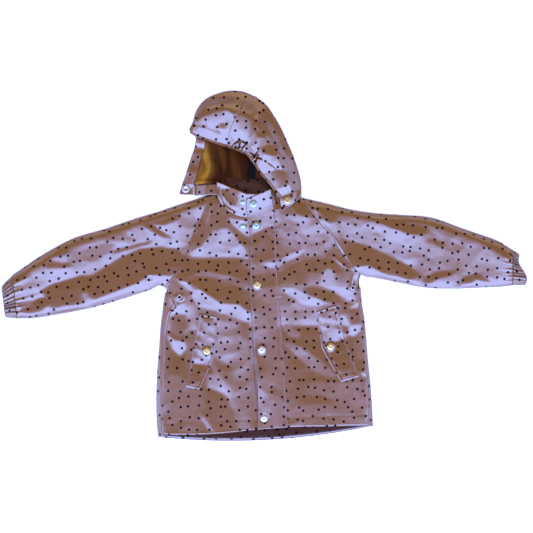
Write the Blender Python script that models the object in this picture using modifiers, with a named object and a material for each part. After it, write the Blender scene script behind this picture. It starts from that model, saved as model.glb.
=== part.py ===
"""A toddler's hooded raincoat, laid flat on its back with the hood turned to one side.

The coat lies face up: its neck points to +Y, and the wearer's right side is at -X, so a name that ends in
_r is a piece of the wearer's right. Every size below is in millimetres, and MM turns it into metres. The
cloth that can be seen is one height field, cloth_height(x, y): a loft that falls to rounded folds at the
sleeve edges and sides, plus the large creases. Each piece is a grid of points on it, made a wall thick.
"""

import math
from collections import namedtuple

import bpy
import numpy as np
from mathutils import Vector
from mathutils.bvhtree import BVHTree

MM = 0.001

# Cloth and how it lies
WALL = 1.2  # coated shell cloth, as a wall that can be built
DOUBLE_WALL = 1.8  # two layers sewn together: placket, flaps, hood bands
SEAM = 0.3  # clear gap between two pieces that are sewn together
LAY = 0.45  # clear gap under a piece that lies on another
FOLD_RADIUS = 2.4  # outside radius of the sleeve edges and side folds
LOFT = 12.5  # height of the upper cloth, well away from a fold
LOFT_WIDTH = 14.0  # how fast the cloth rises from a fold to its loft
HOOD_FOLD = 3.0  # outside radius of the hood's crown fold
STITCHED_GATHER = 1.3  # depth of the small gathers at cuffs and hem

# Metal
SNAP_RADIUS = 6.7
STUD_RADIUS = 4.6
EYELET_RADIUS = 4.4

Station = namedtuple("Station", "top bottom")
SideRow = namedtuple("SideRow", "right left edge_y seam_y")
HoodRow = namedtuple("HoodRow", "edge crown edge_height dome bow")
FlapRow = namedtuple("FlapRow", "sewn free")
Crease = namedtuple("Crease", "path width height")
Snap = namedtuple("Snap", "name x y on profile")
Finish = namedtuple("Finish", "color roughness metallic")

SHELL = Finish((0.33, 0.18, 0.14), 0.42, 0.0)
LINING = Finish((0.33, 0.17, 0.04), 0.6, 0.0)
METAL = Finish((0.75, 0.68, 0.5), 0.25, 1.0)
TAB = Finish((0.01, 0.01, 0.012), 0.8, 0.0)

# Sleeves, from the cuff seam to the armhole: a point on the upper edge and the one across on the lower edge
SLEEVE_R = [
    Station((-452, -16), (-445, -96)),
    Station((-428, 0), (-412, -95)),
    Station((-403, 17), (-371, -88.5)),
    Station((-346, 48), (-310, -76.5)),
    Station((-288, 65.5), (-252, -59.5)),
    Station((-230, 85), (-208, -45)),
    Station((-190, 97), (-192, -37)),
    Station((-155, 109), (-186, -37)),
    Station((-124, 119), (-183, -38)),
    Station((-92, 131), (-180, -39)),
]
SLEEVE_L = [
    Station((446, 29.5), (448, -36)),
    Station((434, 37), (424, -39)),
    Station((418, 46), (396, -40)),
    Station((360, 66), (345, -42)),
    Station((302, 86), (290, -40)),
    Station((245, 91), (228, -28)),
    Station((200, 94), (198, -22)),
    Station((155, 101), (184, -20)),
    Station((112, 112), (179, -18)),
    Station((69, 122), (175, -16)),
]
CUFF_END_R = Station((-473, -37), (-466, -94))
CUFF_END_L = Station((461, 20), (471, -36))
CUFF_SWING_L = 4.8  # how far the end of the left cuff swings to either side of a straight line
RAGLAN_R = [(-92, 131), (-101, 114), (-117, 78), (-133, 44), (-146, 8), (-165, -20), (-180, -39)]
RAGLAN_L = [(69, 122), (80, 104), (101, 76), (122, 53), (143, 17), (162, -4), (175, -16)]

# Body, from the hem to the underarm: the side seams, and the heights at which each row meets the placket
SIDE_ROWS = [
    SideRow((-184, -304), (190, -288), -295, -291),
    SideRow((-185, -285), (189, -268), -280, -273),
    SideRow((-184, -251), (188, -238), -249, -242),
    SideRow((-183, -220), (187, -210), -217, -210),
    SideRow((-181, -181), (184, -177), -181, -176),
    SideRow((-179, -143), (181, -145), -143, -140),
    SideRow((-175, -113), (178, -116), -112, -109),
    SideRow((-170, -87), (175, -91), -84, -80),
    SideRow((-159, -73), (172, -73), -68, -64),
    SideRow((-164, -60), (170, -57), -51, -48),
    SideRow((-171, -49), (168, -40), -33, -30),
]
# The rows above the underarm end on the armhole seams instead
UPPER_EDGE_Y = [-18, -2, 13, 27, 43, 63, 80, 86]
UPPER_SEAM_Y = [-12, 3, 18, 33, 52, 74, 90, 97]
COLLAR_EDGE_Y = [97, 108, 119]
COLLAR_SEAM_Y = [110, 123, 138]
SIDE_FOLD_R = [(-177, -45), (-180, -58), (-183, -80), (-187, -113), (-189, -143), (-192, -181), (-194, -220),
               (-194.5, -251), (-193.5, -285), (-191, -310)]
SIDE_FOLD_L = [(175, -24), (175, -48), (177, -71), (181, -94), (184, -125), (187, -161), (190, -192),
               (193, -224), (195, -255), (197, -289)]
PLACKET_EDGE = [(-32, 119), (-31, 90), (-25, 55), (-25, -60), (-22, -94), (-19, -148), (-14, -180),
                (-12, -233), (-11, -295)]
PLACKET_SEAM = [(13, 138), (16, 115), (19, 92), (21, 60), (24, -26), (29, -80), (33, -140), (38, -217),
                (43, -292)]
NECK_R = [(-92, 131), (-84, 119), (-76, 109), (-59, 94), (-45, 88), (-31, 86)]
NECK_L = [(18, 97), (30, 100), (46, 106), (69, 122)]
FRONT_HEM_SAG = -4.0
BACK_HEM_SAG = -15.0
BACK_HEM_DROP_R = -6.0
BACK_HEM_DROP_L = -2.0

COLLAR_TOP_R = [(-85, 150), (-76, 147), (-59, 140), (-44, 134), (-32, 129)]
COLLAR_TOP_L = [(13, 137), (30, 140), (50, 136)]
COLLAR_RISE = 12.0  # how far the open side of the collar stands above the neck seam
BACK_COLLAR_TOP = [(-80, 148), (-74, 155), (-62, 159), (-31, 160), (0, 158), (14, 152)]
BACK_COLLAR_FOOT = [(-82, 127), (-40, 124), (-10, 123), (16, 123)]
BACK_COLLAR_RISE = 11.5
PLACKET_CLIMB = 1.0  # how much higher each row of the placket lies above the neck, over the standing collar

# Hood: its near side from the brim to the neck, as the opening edge and the crown fold across from it
HOOD_ROWS = [
    HoodRow((-133, 239), (-135, 246), 5, 1, 0),
    HoodRow((-122, 233), (-129, 258), 7, 4, 0),
    HoodRow((-108, 228), (-122, 280), 9, 8, 2),
    HoodRow((-92, 222), (-104, 301), 11, 13, 5),
    HoodRow((-81, 218), (-70, 314), 12, 16, 9),
    HoodRow((-73, 215), (-40, 314), 13, 18, 12),
    HoodRow((-66, 213), (-14, 304), 14, 19, 13),
    HoodRow((-54, 209), (4.5, 289.5), 16, 20, 12),
    HoodRow((-42, 204), (20, 267), 17, 20, 10),
    HoodRow((-32, 200), (32, 246), 18, 20, 8),
    HoodRow((-24, 190), (43, 221), 20, 19, 6),
    HoodRow((-17, 181), (53, 198), 20.5, 18, 4),
    HoodRow((-8, 167), (60.5, 175.5), 20.5, 16, 2),
    HoodRow((5, 152), (66, 156), 20, 12, 0),
    HoodRow((29, 122), (68, 139), 19, 6, 0),
]
PEAK_SEAM_ROW = 6
BAND_L_FOOT = [(31, 105), (48, 108), (67, 122)]
HOOD_FAR_SIDE = [  # the open edge of the hood's far side and the fold across from it, row by row
    ((-147, 146), (60, 146)),
    ((-142, 160), (57, 160)),
    ((-133, 190), (47, 188)),
    ((-126, 210), (38, 210)),
    ((-121.5, 224), (31, 226)),
    ((-126, 238), (23, 241)),
    ((-125, 255), (13, 256)),
    ((-117, 275), (-1, 279)),
    ((-105, 292), (-18, 295)),
    ((-78, 305), (-38, 306)),
]
FACING_ROWS = [  # the facing along that open edge: outer and inner edge
    ((-153, 128), (-128, 127)),
    ((-148, 146), (-127, 146)),
    ((-142.5, 160), (-122.5, 162)),
    ((-133, 190), (-115, 188)),
    ((-126, 210), (-108, 208)),
    ((-122, 229), (-106, 225)),
]
LINING_ROWS = [  # the lining that shows inside the hood, from the facing to under the near side
    ((-126, 147), (52, 147)),
    ((-121.5, 162), (52, 162)),
    ((-114, 188), (42, 188)),
    ((-107, 208), (34, 208)),
    ((-105, 219), (26, 225)),
    ((-104, 232), (14, 245)),
    ((-98, 250), (0, 262)),
]
BAND_R_ROWS = [((-126.3, 126), (-83.5, 128)), ((-126.3, 145.3), (-83.5, 145.3))]
BAND_R_LIFT = 7.0  # the far band climbs over the shoulder of the right sleeve
TAB_ROWS = [((-32, 156), (-15, 156)), ((-28, 192), (-16, 192))]

FLAP_R = [
    FlapRow((-116, -86), (-84, -91)),
    FlapRow((-123, -122), (-86, -130)),
    FlapRow((-129, -152), (-90, -162)),
    FlapRow((-142, -220), (-116, -224)),
]
FLAP_L = [
    FlapRow((130, -70), (94, -82)),
    FlapRow((141, -110), (101, -126)),
    FlapRow((148, -138), (106, -152)),
    FlapRow((172, -201), (139, -211)),
]
FLAP_LOFT = 1.4

# The largest creases, as soft ridges (height above 0) and troughs, each along its own short path
CREASES = [
    Crease([(-110, 52), (-70, 71), (-28, 78)], 40, 2.6),
    Crease([(-130, 4), (-80, 6), (-28, 12)], 40, -2.6),
    Crease([(-158, -23), (-124, -39), (-94, -60), (-58, -78), (-26, -87)], 26, 2.6),
    Crease([(-95, -115), (-55, -125), (-28, -130)], 30, -1.6),
    Crease([(-170, -224), (-120, -206), (-75, -192)], 34, -1.8),
    Crease([(20, 80), (55, 86), (90, 88)], 24, 2.0),
    Crease([(0, 5), (60, 8), (140, 4)], 34, -2.4),
    Crease([(58, -48), (86, -21), (115, -4), (146, -24), (158, -48)], 20, 2.2),
    Crease([(40, -64), (90, -57), (150, -70)], 18, -1.8),
    Crease([(20, -55), (65, -50), (115, -72)], 14, 1.4),
    Crease([(34, -127), (83, -156), (135, -190)], 30, 2.2),
    Crease([(38, -170), (92, -202), (146, -232)], 32, -2.0),
    Crease([(-420, -38), (-330, -12), (-240, 28), (-165, 58)], 34, -2.6),
    Crease([(146, 96), (194, 78), (245, 60), (295, 56)], 24, 2.2),
    Crease([(155, 20), (245, 6), (335, 14), (405, -14)], 26, -2.4),
    Crease([(182, -6), (280, -26), (388, -30)], 14, 1.4),
]
HOOD_CREASES = [
    Crease([(-105, 286), (-80, 262), (-40, 252), (-8, 285)], 22, 2.5),
    Crease([(-45, 208), (-42, 240), (-22, 280)], 12, -3.0),
    Crease([(-38, 205), (-18, 240), (5, 262)], 9, 2.5),
    Crease([(-24, 190), (0, 222), (24, 245)], 12, -3.5),
    Crease([(-12, 172), (20, 190), (45, 205)], 12, 3.0),
    Crease([(0, 158), (30, 165), (58, 178)], 12, -2.5),
    Crease([(-120, 242), (-96, 250), (-70, 235)], 14, -2.0),
]
LINING_CREASES = [
    Crease([(-96, 212), (-98, 180), (-100, 152)], 8, 4.5),
    Crease([(-72, 212), (-76, 180), (-80, 155)], 9, 3.0),
    Crease([(-50, 208), (-48, 185), (-44, 165)], 10, 4.0),
    Crease([(-118, 150), (-95, 153), (-78, 152)], 6, 2.5),
]

SNAPS = [
    Snap("snap_front_1", -19, 111, "placket", "CAP"),
    Snap("snap_front_2", -14, 72, "placket", "CAP"),
    Snap("snap_front_3", -12, -35, "placket", "CAP"),
    Snap("snap_front_4", -4, -151, "placket", "CAP"),
    Snap("snap_front_5", 0, -275, "placket", "CAP"),
    Snap("snap_flap_r", -103, -154, "flap_r", "CAP"),
    Snap("snap_flap_l", 120, -146, "flap_l", "CAP"),
    Snap("snap_hood_l", 42, 117, "hood_band_l", "CAP"),
    Snap("snap_hood_r", -141, 138, "hood_facing", "SOCKET"),
    Snap("stud_collar", -38, 114, "collar_r", "STUD"),
    Snap("stud_front", -38, 71, "front_r", "STUD"),
    Snap("eyelet_sleeve_r", -207, -26, "sleeve_r", "EYELET"),
    Snap("eyelet_front_r", -152, -57, "front_r", "EYELET"),
    Snap("eyelet_front_l", 160, -40, "front_l", "EYELET"),
]
SNAP_REST_NEAR = 9.0  # creases fade out towards each snap, which keeps its seat flat
SNAP_REST_FAR = 18.0

# Half outlines of the metal, as (radius, height) from the foot; the closed ones go round the axis as rings
PROFILES = {
    "CAP": [(0, 0), (SNAP_RADIUS - 1.2, 0), (SNAP_RADIUS, 0.9), (SNAP_RADIUS - 0.9, 1.8), (3.2, 2.5),
            (0, 2.7)],
    "SOCKET": [(0, 0), (6.6, 0), (7.0, 1.0), (5.6, 2.0), (3.4, 1.9), (2.6, 0.7), (0, 0.7)],
    "STUD": [(0, 0), (STUD_RADIUS, 0), (STUD_RADIUS, 0.8), (2.4, 1.2), (2.0, 2.4), (0, 2.6)],
    "EYELET": [(2.2, 0), (EYELET_RADIUS, 0), (EYELET_RADIUS - 0.4, 0.9), (3.2, 1.2), (2.2, 0.8)],
}
RING_PROFILES = {"EYELET"}
METAL_SIDES = 14


# ---------------------------------------------------------------- curves and fields


def smooth_between(a, b, c, d, t):
    """The smooth curve from b to c, whose slopes come from the neighbours a and d; t runs from 0 to 1."""
    return 0.5 * (2 * b + (c - a) * t + (2 * a - 5 * b + 4 * c - d) * t**2 + (3 * b - a - 3 * c + d) * t**3)


def curve(points, count):
    """Count points, evenly spaced along a smooth curve through the given ones."""
    p = np.asarray(points, float)
    if len(p) > 2:
        ends = np.vstack([2 * p[0] - p[1], p, 2 * p[-1] - p[-2]])
        dense = []
        for a, b, c, d in zip(ends, ends[1:], ends[2:], ends[3:]):
            t = np.linspace(0, 1, 12, endpoint=False)[:, None]
            dense.append(smooth_between(a, b, c, d, t))
        p = np.vstack(dense + [p[-1:]])
    length = np.concatenate([[0], np.cumsum(np.linalg.norm(np.diff(p, axis=0), axis=1))])
    at = np.linspace(0, length[-1], count)
    return np.stack([np.interp(at, length, p[:, k]) for k in range(p.shape[1])], axis=1)


def resample(points, cells):
    """A column of a table read at even steps of its row number, joined by a smooth curve."""
    p = np.asarray(points, float)
    if p.ndim == 1:
        p = p[:, None]
    ends = np.vstack([2 * p[0] - p[1], p, 2 * p[-1] - p[-2]])
    at = np.linspace(0, len(p) - 1, cells + 1)
    i = np.minimum(at.astype(int), len(p) - 2)
    t = (at - i)[:, None]
    a, b, c, d = (ends[i + k] for k in range(4))
    return smooth_between(a, b, c, d, t)


def smooth_step(low, high, value):
    t = np.clip((value - low) / (high - low), 0, 1)
    return t * t * (3 - 2 * t)


def mix(a, b, t):
    return np.asarray(a, float) * (1 - t) + np.asarray(b, float) * t


def distance_along(path, x, y):
    """Distance from each place to a polyline, and how far along it the nearest point is, from 0 to 1."""
    best = np.full(np.shape(x), np.inf)
    along = np.zeros(np.shape(x))
    steps = len(path) - 1
    for i, (a, b) in enumerate(zip(path, path[1:])):
        dx, dy = b - a
        t = np.clip(((x - a[0]) * dx + (y - a[1]) * dy) / (dx * dx + dy * dy), 0, 1)
        away = np.hypot(x - a[0] - t * dx, y - a[1] - t * dy)
        nearer = away < best
        best = np.where(nearer, away, best)
        along = np.where(nearer, (i + t) / steps, along)
    return best, along


def creased(creases, x, y):
    """The height that a set of creases adds: each one a soft ridge that fades at both ends."""
    height = np.zeros(np.shape(x))
    for crease in creases:
        away, along = distance_along(curve(crease.path, 14), x, y)
        fade = np.sin(np.pi * np.clip(along, 0.02, 0.98)) ** 0.6
        height += crease.height * fade * np.exp(-((away / crease.width) ** 2) * 1.6)
    return height


FOLD_EDGES = [
    curve([s.top for s in SLEEVE_R], 40), curve([s.bottom for s in SLEEVE_R], 40), curve(SIDE_FOLD_R, 24),
    curve([s.top for s in SLEEVE_L], 40), curve([s.bottom for s in SLEEVE_L], 40), curve(SIDE_FOLD_L, 24),
]


def fold_distance(x, y):
    return np.min([distance_along(edge, x, y)[0] for edge in FOLD_EDGES], axis=0)


def snap_rest(x, y):
    nearest = np.min([np.hypot(x - snap.x, y - snap.y) for snap in SNAPS], axis=0)
    return smooth_step(SNAP_REST_NEAR, SNAP_REST_FAR, nearest)


def cloth_height(x, y):
    """Height of the upper cloth of the body and sleeves above the floor."""
    edge = fold_distance(x, y)
    rise = 1 - np.exp(-np.maximum(edge - FOLD_RADIUS, 0) / LOFT_WIDTH)
    loft = 2 * FOLD_RADIUS + (LOFT - 2 * FOLD_RADIUS) * rise
    return loft + creased(CREASES, x, y) * smooth_step(FOLD_RADIUS, 16, edge) * snap_rest(x, y)


def on_cloth(points, above=0.0):
    """Places (x, y) lifted onto the upper cloth."""
    x, y = np.moveaxis(np.asarray(points, float), -1, 0)
    return np.stack([x, y, cloth_height(x, y) + above], axis=-1)


# ---------------------------------------------------------------- making objects


def material(name, finish):
    made = bpy.data.materials.new(name)
    made.use_nodes = True
    shader = made.node_tree.nodes["Principled BSDF"]
    shader.inputs["Base Color"].default_value = (*finish.color, 1)
    shader.inputs["Roughness"].default_value = finish.roughness
    shader.inputs["Metallic"].default_value = finish.metallic
    return made


def add_object(name, mesh, finish):
    mesh.materials.append(material(name, finish))
    made = bpy.data.objects.new(name, mesh)
    PARTS.objects.link(made)
    return made


TOPS = {}  # the visible face of each sheet, for what is set on it


def cloth(name, grid, finish, wall=WALL, side=-1, closed=False):
    """A cloth piece: a grid of points, rows by columns, with NaN where there is no cloth. side -1 puts the
    wall under the grid, which is then the face that shows, and +1 puts it above. closed joins the last
    column to the first, as in a tube."""
    rows, columns = grid.shape[:2]
    there = ~np.isnan(grid[..., 0])
    number = np.cumsum(there.ravel()).reshape(there.shape) - 1
    faces = []
    for r in range(rows - 1):
        for c in range(columns if closed else columns - 1):
            n = (c + 1) % columns
            corners = [(r, c), (r, n), (r + 1, n), (r + 1, c)]
            if all(there[k] for k in corners):
                faces.append([int(number[k]) for k in corners])
    points = grid[there]
    mesh = bpy.data.meshes.new(name)
    mesh.from_pydata(points * MM, [], faces)
    mesh.shade_smooth()
    made = add_object(name, mesh, finish)
    thick = made.modifiers.new("wall", "SOLIDIFY")
    thick.thickness = wall * MM
    thick.offset = side
    shown = points + (np.array([0, 0, wall]) if side > 0 else 0)
    TOPS[name] = BVHTree.FromPolygons([Vector(p) for p in shown], faces)
    return made


def ruled(rows, across, down):
    """A grid between two edges: smooth rows of (start, end) points, with `across` and `down` cells."""
    starts = resample([row[0] for row in rows], down)
    ends = resample([row[1] for row in rows], down)
    t = np.linspace(0, 1, across + 1)[None, :, None]
    return starts[:, None] * (1 - t) + ends[:, None] * t


# ---------------------------------------------------------------- the body


LOWER_CELLS = 12  # from the hem to the underarm
ARMHOLE_CELLS = 14  # along an armhole seam, shared by the front and the sleeve so that they match
BACK_CELLS = 8
WRAP_TURNS = (90, 135, 180, 225, 270)  # degrees round a side fold, from its top to the floor
HEM_PUCKERS = 30
FRONT_COLUMNS = [0, 0.03, 0.09, 0.18, 0.29, 0.41, 0.54, 0.68, 0.84, 1]


def line_x(line, y):
    """Where a line that runs down the coat crosses the height y."""
    p = curve(line, 60)
    order = np.argsort(p[:, 1])
    return np.interp(y, p[order, 1], p[order, 0])


def armhole(raglan):
    """The points shared by the two pieces on either side of an armhole seam, from the neck down."""
    path = curve(raglan, 200)
    inset = FOLD_RADIUS / np.linalg.norm(path[-1] - path[0])
    at = np.linspace(inset, 1 - inset, ARMHOLE_CELLS + 1)
    return np.stack([np.interp(at, np.linspace(0, 1, 200), path[:, k]) for k in (0, 1)], axis=1)


def body_columns():
    """The body's lines, row by row: right side, placket's free edge, centre, placket's seam, left side."""
    sides = []
    for side, raglan, gap in (("right", RAGLAN_R, SEAM), ("left", RAGLAN_L, -SEAM)):
        lower = resample([getattr(row, side) for row in SIDE_ROWS], LOWER_CELLS)
        sides.append(np.vstack([lower, armhole(raglan)[::-1] + [gap, 0]]))
    middles = []
    for line, rows, upper in ((PLACKET_EDGE, "edge_y", UPPER_EDGE_Y), (PLACKET_SEAM, "seam_y", UPPER_SEAM_Y)):
        lower = resample([getattr(row, rows) for row in SIDE_ROWS], LOWER_CELLS)
        y = np.append(lower, resample(upper, ARMHOLE_CELLS))
        middles.append(np.column_stack([line_x(line, y), y]))
    edge, seam = middles
    return sides[0], edge, (edge + seam) / 2, seam, sides[1]


def bowed(start, end, columns, hem_sag, neck):
    """Rows from one side to the placket, sagging to the hem's curve below and rising to the neck's."""
    rows = len(start)
    t = np.array(columns)[None, :, None]
    grid = start[:, None] * (1 - t) + end[:, None] * t
    row = np.linspace(0, 1, rows)[:, None]
    u = t[0, :, 0][None]
    grid[..., 1] += hem_sag * 4 * u * (1 - u) * np.clip(1 - row / 0.35, 0, 1) ** 2
    path = curve(neck, 60)
    on_neck = np.stack([np.interp(u[0], np.linspace(0, 1, 60), path[:, k]) for k in (0, 1)], axis=1)
    bend = on_neck - (path[0] * (1 - t[0]) + path[-1] * t[0])
    grid += bend[None] * (np.clip((row - 0.72) / 0.28, 0, 1) ** 2)[..., None]
    return grid


RIGHT, EDGE, CENTRE, SEAM_LINE, LEFT = body_columns()


def make_fronts(finish):
    gap = np.array([SEAM / 2, 0])
    right = bowed(RIGHT, EDGE, FRONT_COLUMNS, FRONT_HEM_SAG, NECK_R)
    right = np.concatenate([right, (CENTRE - gap)[:, None]], axis=1)
    cloth("front_r", on_cloth(right), finish)
    left = bowed(SEAM_LINE, LEFT, [1 - t for t in reversed(FRONT_COLUMNS)], 0.0, NECK_L)
    left = np.concatenate([(CENTRE + gap)[:, None], left], axis=1)
    cloth("front_l", on_cloth(left), finish)


def above_neck():
    """The placket's lines above the neck seam: its free edge, its centre and its seam."""
    edge = np.column_stack([line_x(PLACKET_EDGE, COLLAR_EDGE_Y), COLLAR_EDGE_Y])
    seam = np.column_stack([line_x(PLACKET_SEAM, COLLAR_SEAM_Y), COLLAR_SEAM_Y])
    return edge, (edge + seam) / 2, seam


def make_placket(finish):
    """The strip that covers the closing, from the hem up over the front and the collar."""
    columns = [np.vstack(pair) for pair in zip((EDGE, CENTRE, SEAM_LINE), above_neck())]
    grid = on_cloth(np.stack(columns, axis=1), LAY)
    climb = np.arange(1, 4) * PLACKET_CLIMB
    grid[-3:, :, 2] = grid[-4, :, 2] + climb[:, None]
    cloth("placket", grid, finish, DOUBLE_WALL, side=1)


def collar_column(foot, top, stand, cells, rounded):
    """Points up one line of the collar, from the neck seam to its top edge, which stands higher."""
    t = np.linspace(0, 1, cells + 1)
    rise = np.sin(t * math.pi / 2) if rounded else t
    flat = mix(foot, top, t[:, None])
    return np.column_stack([flat, cloth_height(*foot) + stand * rise])


def make_collar(finish):
    """Three pieces: the right and left halves in front, which end under the placket, and the back half."""
    up = np.array([0, SEAM])
    gap = np.array([SEAM / 2, 0])
    edge, centre, seam = above_neck()

    feet, tops = curve(NECK_R[1:], 6)[:5] + up, curve(COLLAR_TOP_R, 6)[:5]
    stands = np.linspace(COLLAR_RISE, 4, 6)[:5]
    right = [collar_column(foot, top, stand, 4, True) for foot, top, stand in zip(feet, tops, stands)]
    right.append(collar_column(EDGE[-1] + up, COLLAR_TOP_R[-1], 4 * PLACKET_CLIMB, 4, False))
    right.append(collar_column(CENTRE[-1] + up - gap, centre[-1] - gap, 3 * PLACKET_CLIMB, 4, False))
    cloth("collar_r", np.stack(right, axis=1), finish)

    feet, tops = curve(NECK_L, 7)[1:5] + up, curve(COLLAR_TOP_L, 5)[1:]
    left = [collar_column(CENTRE[-1] + up + gap, centre[-1] + gap, 3 * PLACKET_CLIMB, 3, False),
            collar_column(SEAM_LINE[-1] + up, seam[-1], 3 * PLACKET_CLIMB, 3, False)]
    left += [collar_column(foot, top, 3.5, 3, False) for foot, top in zip(feet, tops)]
    cloth("collar_l", np.stack(left, axis=1), finish)

    feet, tops = curve(BACK_COLLAR_FOOT, 11), curve(BACK_COLLAR_TOP, 11)
    back = [collar_column(foot, top, BACK_COLLAR_RISE, 3, True) for foot, top in zip(feet, tops)]
    back = np.stack(back, axis=1)
    back[..., 2] += WALL + LAY - back[:1, :, 2]
    cloth("collar_back", back, finish, side=1)


def wrapped_side(fold, seam, drop, inward):
    """The back where it wraps round a side fold: columns from the side seam on top to the flat
    underside. inward is +1 where the body lies towards +X, and drop lengthens the back at the hem."""
    y = seam[:, 1] + drop * (np.arange(len(seam)) == 0)
    x = line_x(fold, y)
    seam_edge = seam - [inward * SEAM, 0]
    fold_top = np.column_stack([x + inward * FOLD_RADIUS, y])
    columns = [on_cloth(seam_edge), on_cloth(mix(seam_edge, fold_top, 0.55))]
    for turn in np.radians(WRAP_TURNS):
        away = FOLD_RADIUS * (1 + math.cos(turn))
        height = FOLD_RADIUS * (1 + math.sin(turn))
        columns.append(np.column_stack([x + inward * away, y, np.full(len(y), height)]))
    return np.stack(columns, axis=1)


def armhole_end(sleeve, inward, share):
    """A place on the back's armhole seam, that share of the way from the underarm to the neck."""
    bottom, top = np.array(sleeve[-1].bottom, float), np.array(sleeve[-1].top, float)
    along = (top - bottom) / np.linalg.norm(top - bottom)
    clear = along * FOLD_RADIUS * 1.5
    return mix(bottom + clear, top - clear, share) + [inward * 2 * SEAM, 0]


def make_back(finish):
    """One piece: flat on the floor and wrapped round both side folds up to the side seams. Above the
    underarm it narrows between the armholes."""
    rows = LOWER_CELLS + 1
    t = np.linspace(0, 1, BACK_CELLS + 1)
    right_wrap = wrapped_side(SIDE_FOLD_R, RIGHT[:rows], BACK_HEM_DROP_R, 1)
    left_wrap = wrapped_side(SIDE_FOLD_L, LEFT[:rows], BACK_HEM_DROP_L, -1)[:, ::-1]
    inner = t[None, 1:-1, None]
    flat = right_wrap[:, -1:] * (1 - inner) + left_wrap[:, :1] * inner
    fade = np.clip(1 - np.arange(rows) / 4, 0, 1)[:, None]
    flat[..., 1] += BACK_HEM_SAG * 4 * inner[..., 0] * (1 - inner[..., 0]) * fade
    lower = np.concatenate([right_wrap, flat, left_wrap], axis=1)

    upper = np.full((6, lower.shape[1], 3), np.nan)
    ends = len(WRAP_TURNS) + 1
    for row, share in zip(upper, np.linspace(0.04, 1, 6)):
        right, left = armhole_end(SLEEVE_R, 1, share), armhole_end(SLEEVE_L, -1, share)
        row[ends:ends + BACK_CELLS + 1, :2] = mix(right, left, t[:, None])
        row[ends:ends + BACK_CELLS + 1, 2] = 0
    cloth("back", np.concatenate([lower, upper])[:, ::-1], finish)


def make_hem_facing(finish):
    """The back's hem turned up inside, puckered where it shows below the fronts."""
    u = np.linspace(0, 1, HEM_PUCKERS * 4 + 1)
    low = mix((-186, -306), (191, -287.5), u[:, None])
    low[:, 1] += (BACK_HEM_SAG + 1.5) * 4 * u * (1 - u)
    uneven = 0.8 - 0.2 * np.sin(2 * math.pi * 5.3 * u)
    pucker = STITCHED_GATHER * uneven * 0.5 * (1 - np.cos(2 * math.pi * HEM_PUCKERS * u))
    floor = np.full(len(u), WALL + LAY)
    grid = np.stack([np.column_stack([low, floor + pucker]), np.column_stack([low + [0, 24], floor])])
    cloth("back_hem", grid, finish, side=1)


# ---------------------------------------------------------------- sleeves and cuffs


UNDER_CELLS = 5
CUFF_RINGS = 4
CUFF_LOFT = 4.4
CUFF_GATHERS = 9


def tube_ring(over, under, drop):
    """A closed ring for a flattened tube: over its top, round a fold, along the floor, round the other.
    over is the line of points across the top, and drop is the x, y step of one fold radius outwards."""
    turns = np.radians((45, 90, 135))
    out = np.sin(turns)[:, None] * drop
    down = FOLD_RADIUS * (1 + np.cos(turns))
    first_fold = np.column_stack([over[-1, :2] + out, down])
    last_fold = np.column_stack([over[0, :2] - out, down[::-1]])
    return np.vstack([over, first_fold, under, last_fold])


def sleeve_ring(top, bottom, path, blend, wave):
    """One ring of a sleeve. blend bends its upper cloth towards the armhole seam, and wave adds the
    gathers near the cuff."""
    length = np.linalg.norm(bottom - top)
    across = (bottom - top) / length
    inset = FOLD_RADIUS / length
    f = np.linspace(inset, 1 - inset, ARMHOLE_CELLS + 1)
    line = top + across * (f * length)[:, None]
    chord = np.array(path[0]) + (np.array(path[-1]) - path[0]) * f[:, None]
    over = on_cloth(line + blend * (armhole(path) - chord))
    over[[0, -1], 2] = 2 * FOLD_RADIUS
    over[:, 2] += wave * np.sin(2 * math.pi * 4.5 * f) ** 2
    u = np.linspace(1 - inset, inset, UNDER_CELLS + 1)
    under = top + across * (u * length)[:, None]
    return tube_ring(over, np.column_stack([under, np.zeros(len(u))]), FOLD_RADIUS * across)


def make_sleeve(name, stations, raglan, gap, finish):
    """A tube from the cuff seam to the armhole, gathered a little where it is sewn to the cuff."""
    cells = 16
    tops = resample([s.top for s in stations], cells)
    bottoms = resample([s.bottom for s in stations], cells)
    rings = []
    for i, (top, bottom) in enumerate(zip(tops, bottoms)):
        blend = smooth_step(0.45, 1.0, i / cells)
        wave = 1.1 * max(1 - i / 3, 0)
        rings.append(sleeve_ring(top, bottom, raglan, blend, wave))
    rings = np.array(rings)
    rings[-1, :, 0] -= gap
    grid = rings if gap > 0 else rings[:, ::-1]
    cloth(name, grid, finish, closed=True)


def make_cuff(name, seam, end, gap, swing, finish):
    """The elastic casing: a short tube with its cloth drawn up in even gathers."""
    rings = []
    for t in np.linspace(0, 1, CUFF_RINGS):
        top, bottom = mix(seam.top, end.top, t), mix(seam.bottom, end.bottom, t)
        ring_points = cuff_ring(top, bottom, 0.35 + 0.65 * t, swing * t)
        rings.append(ring_points - [gap * (1 - t), 0, 0])
    rings = np.array(rings)
    cloth(name, rings[::-1] if gap > 0 else rings, finish, closed=True)


def cuff_ring(top, bottom, depth, swing):
    length = np.linalg.norm(bottom - top)
    across = (bottom - top) / length
    inset = FOLD_RADIUS / length

    def place(f):
        return top + across * (f * length)[:, None] - np.outer(np.sin(2 * math.pi * f), [swing, 0])

    f = np.linspace(inset, 1 - inset, CUFF_GATHERS * 4 + 1)
    gather = np.sin(math.pi * CUFF_GATHERS * (f - f[0]) / (f[-1] - f[0])) ** 2
    height = 2 * FOLD_RADIUS + CUFF_LOFT * np.sin(math.pi * f) + STITCHED_GATHER * depth * gather
    height[[0, -1]] = 2 * FOLD_RADIUS
    under = np.column_stack([place(f[::-4]), np.zeros(CUFF_GATHERS + 1)])
    return tube_ring(np.column_stack([place(f), height]), under, FOLD_RADIUS * across)


# ---------------------------------------------------------------- hood


HOOD_ACROSS = 9


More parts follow.
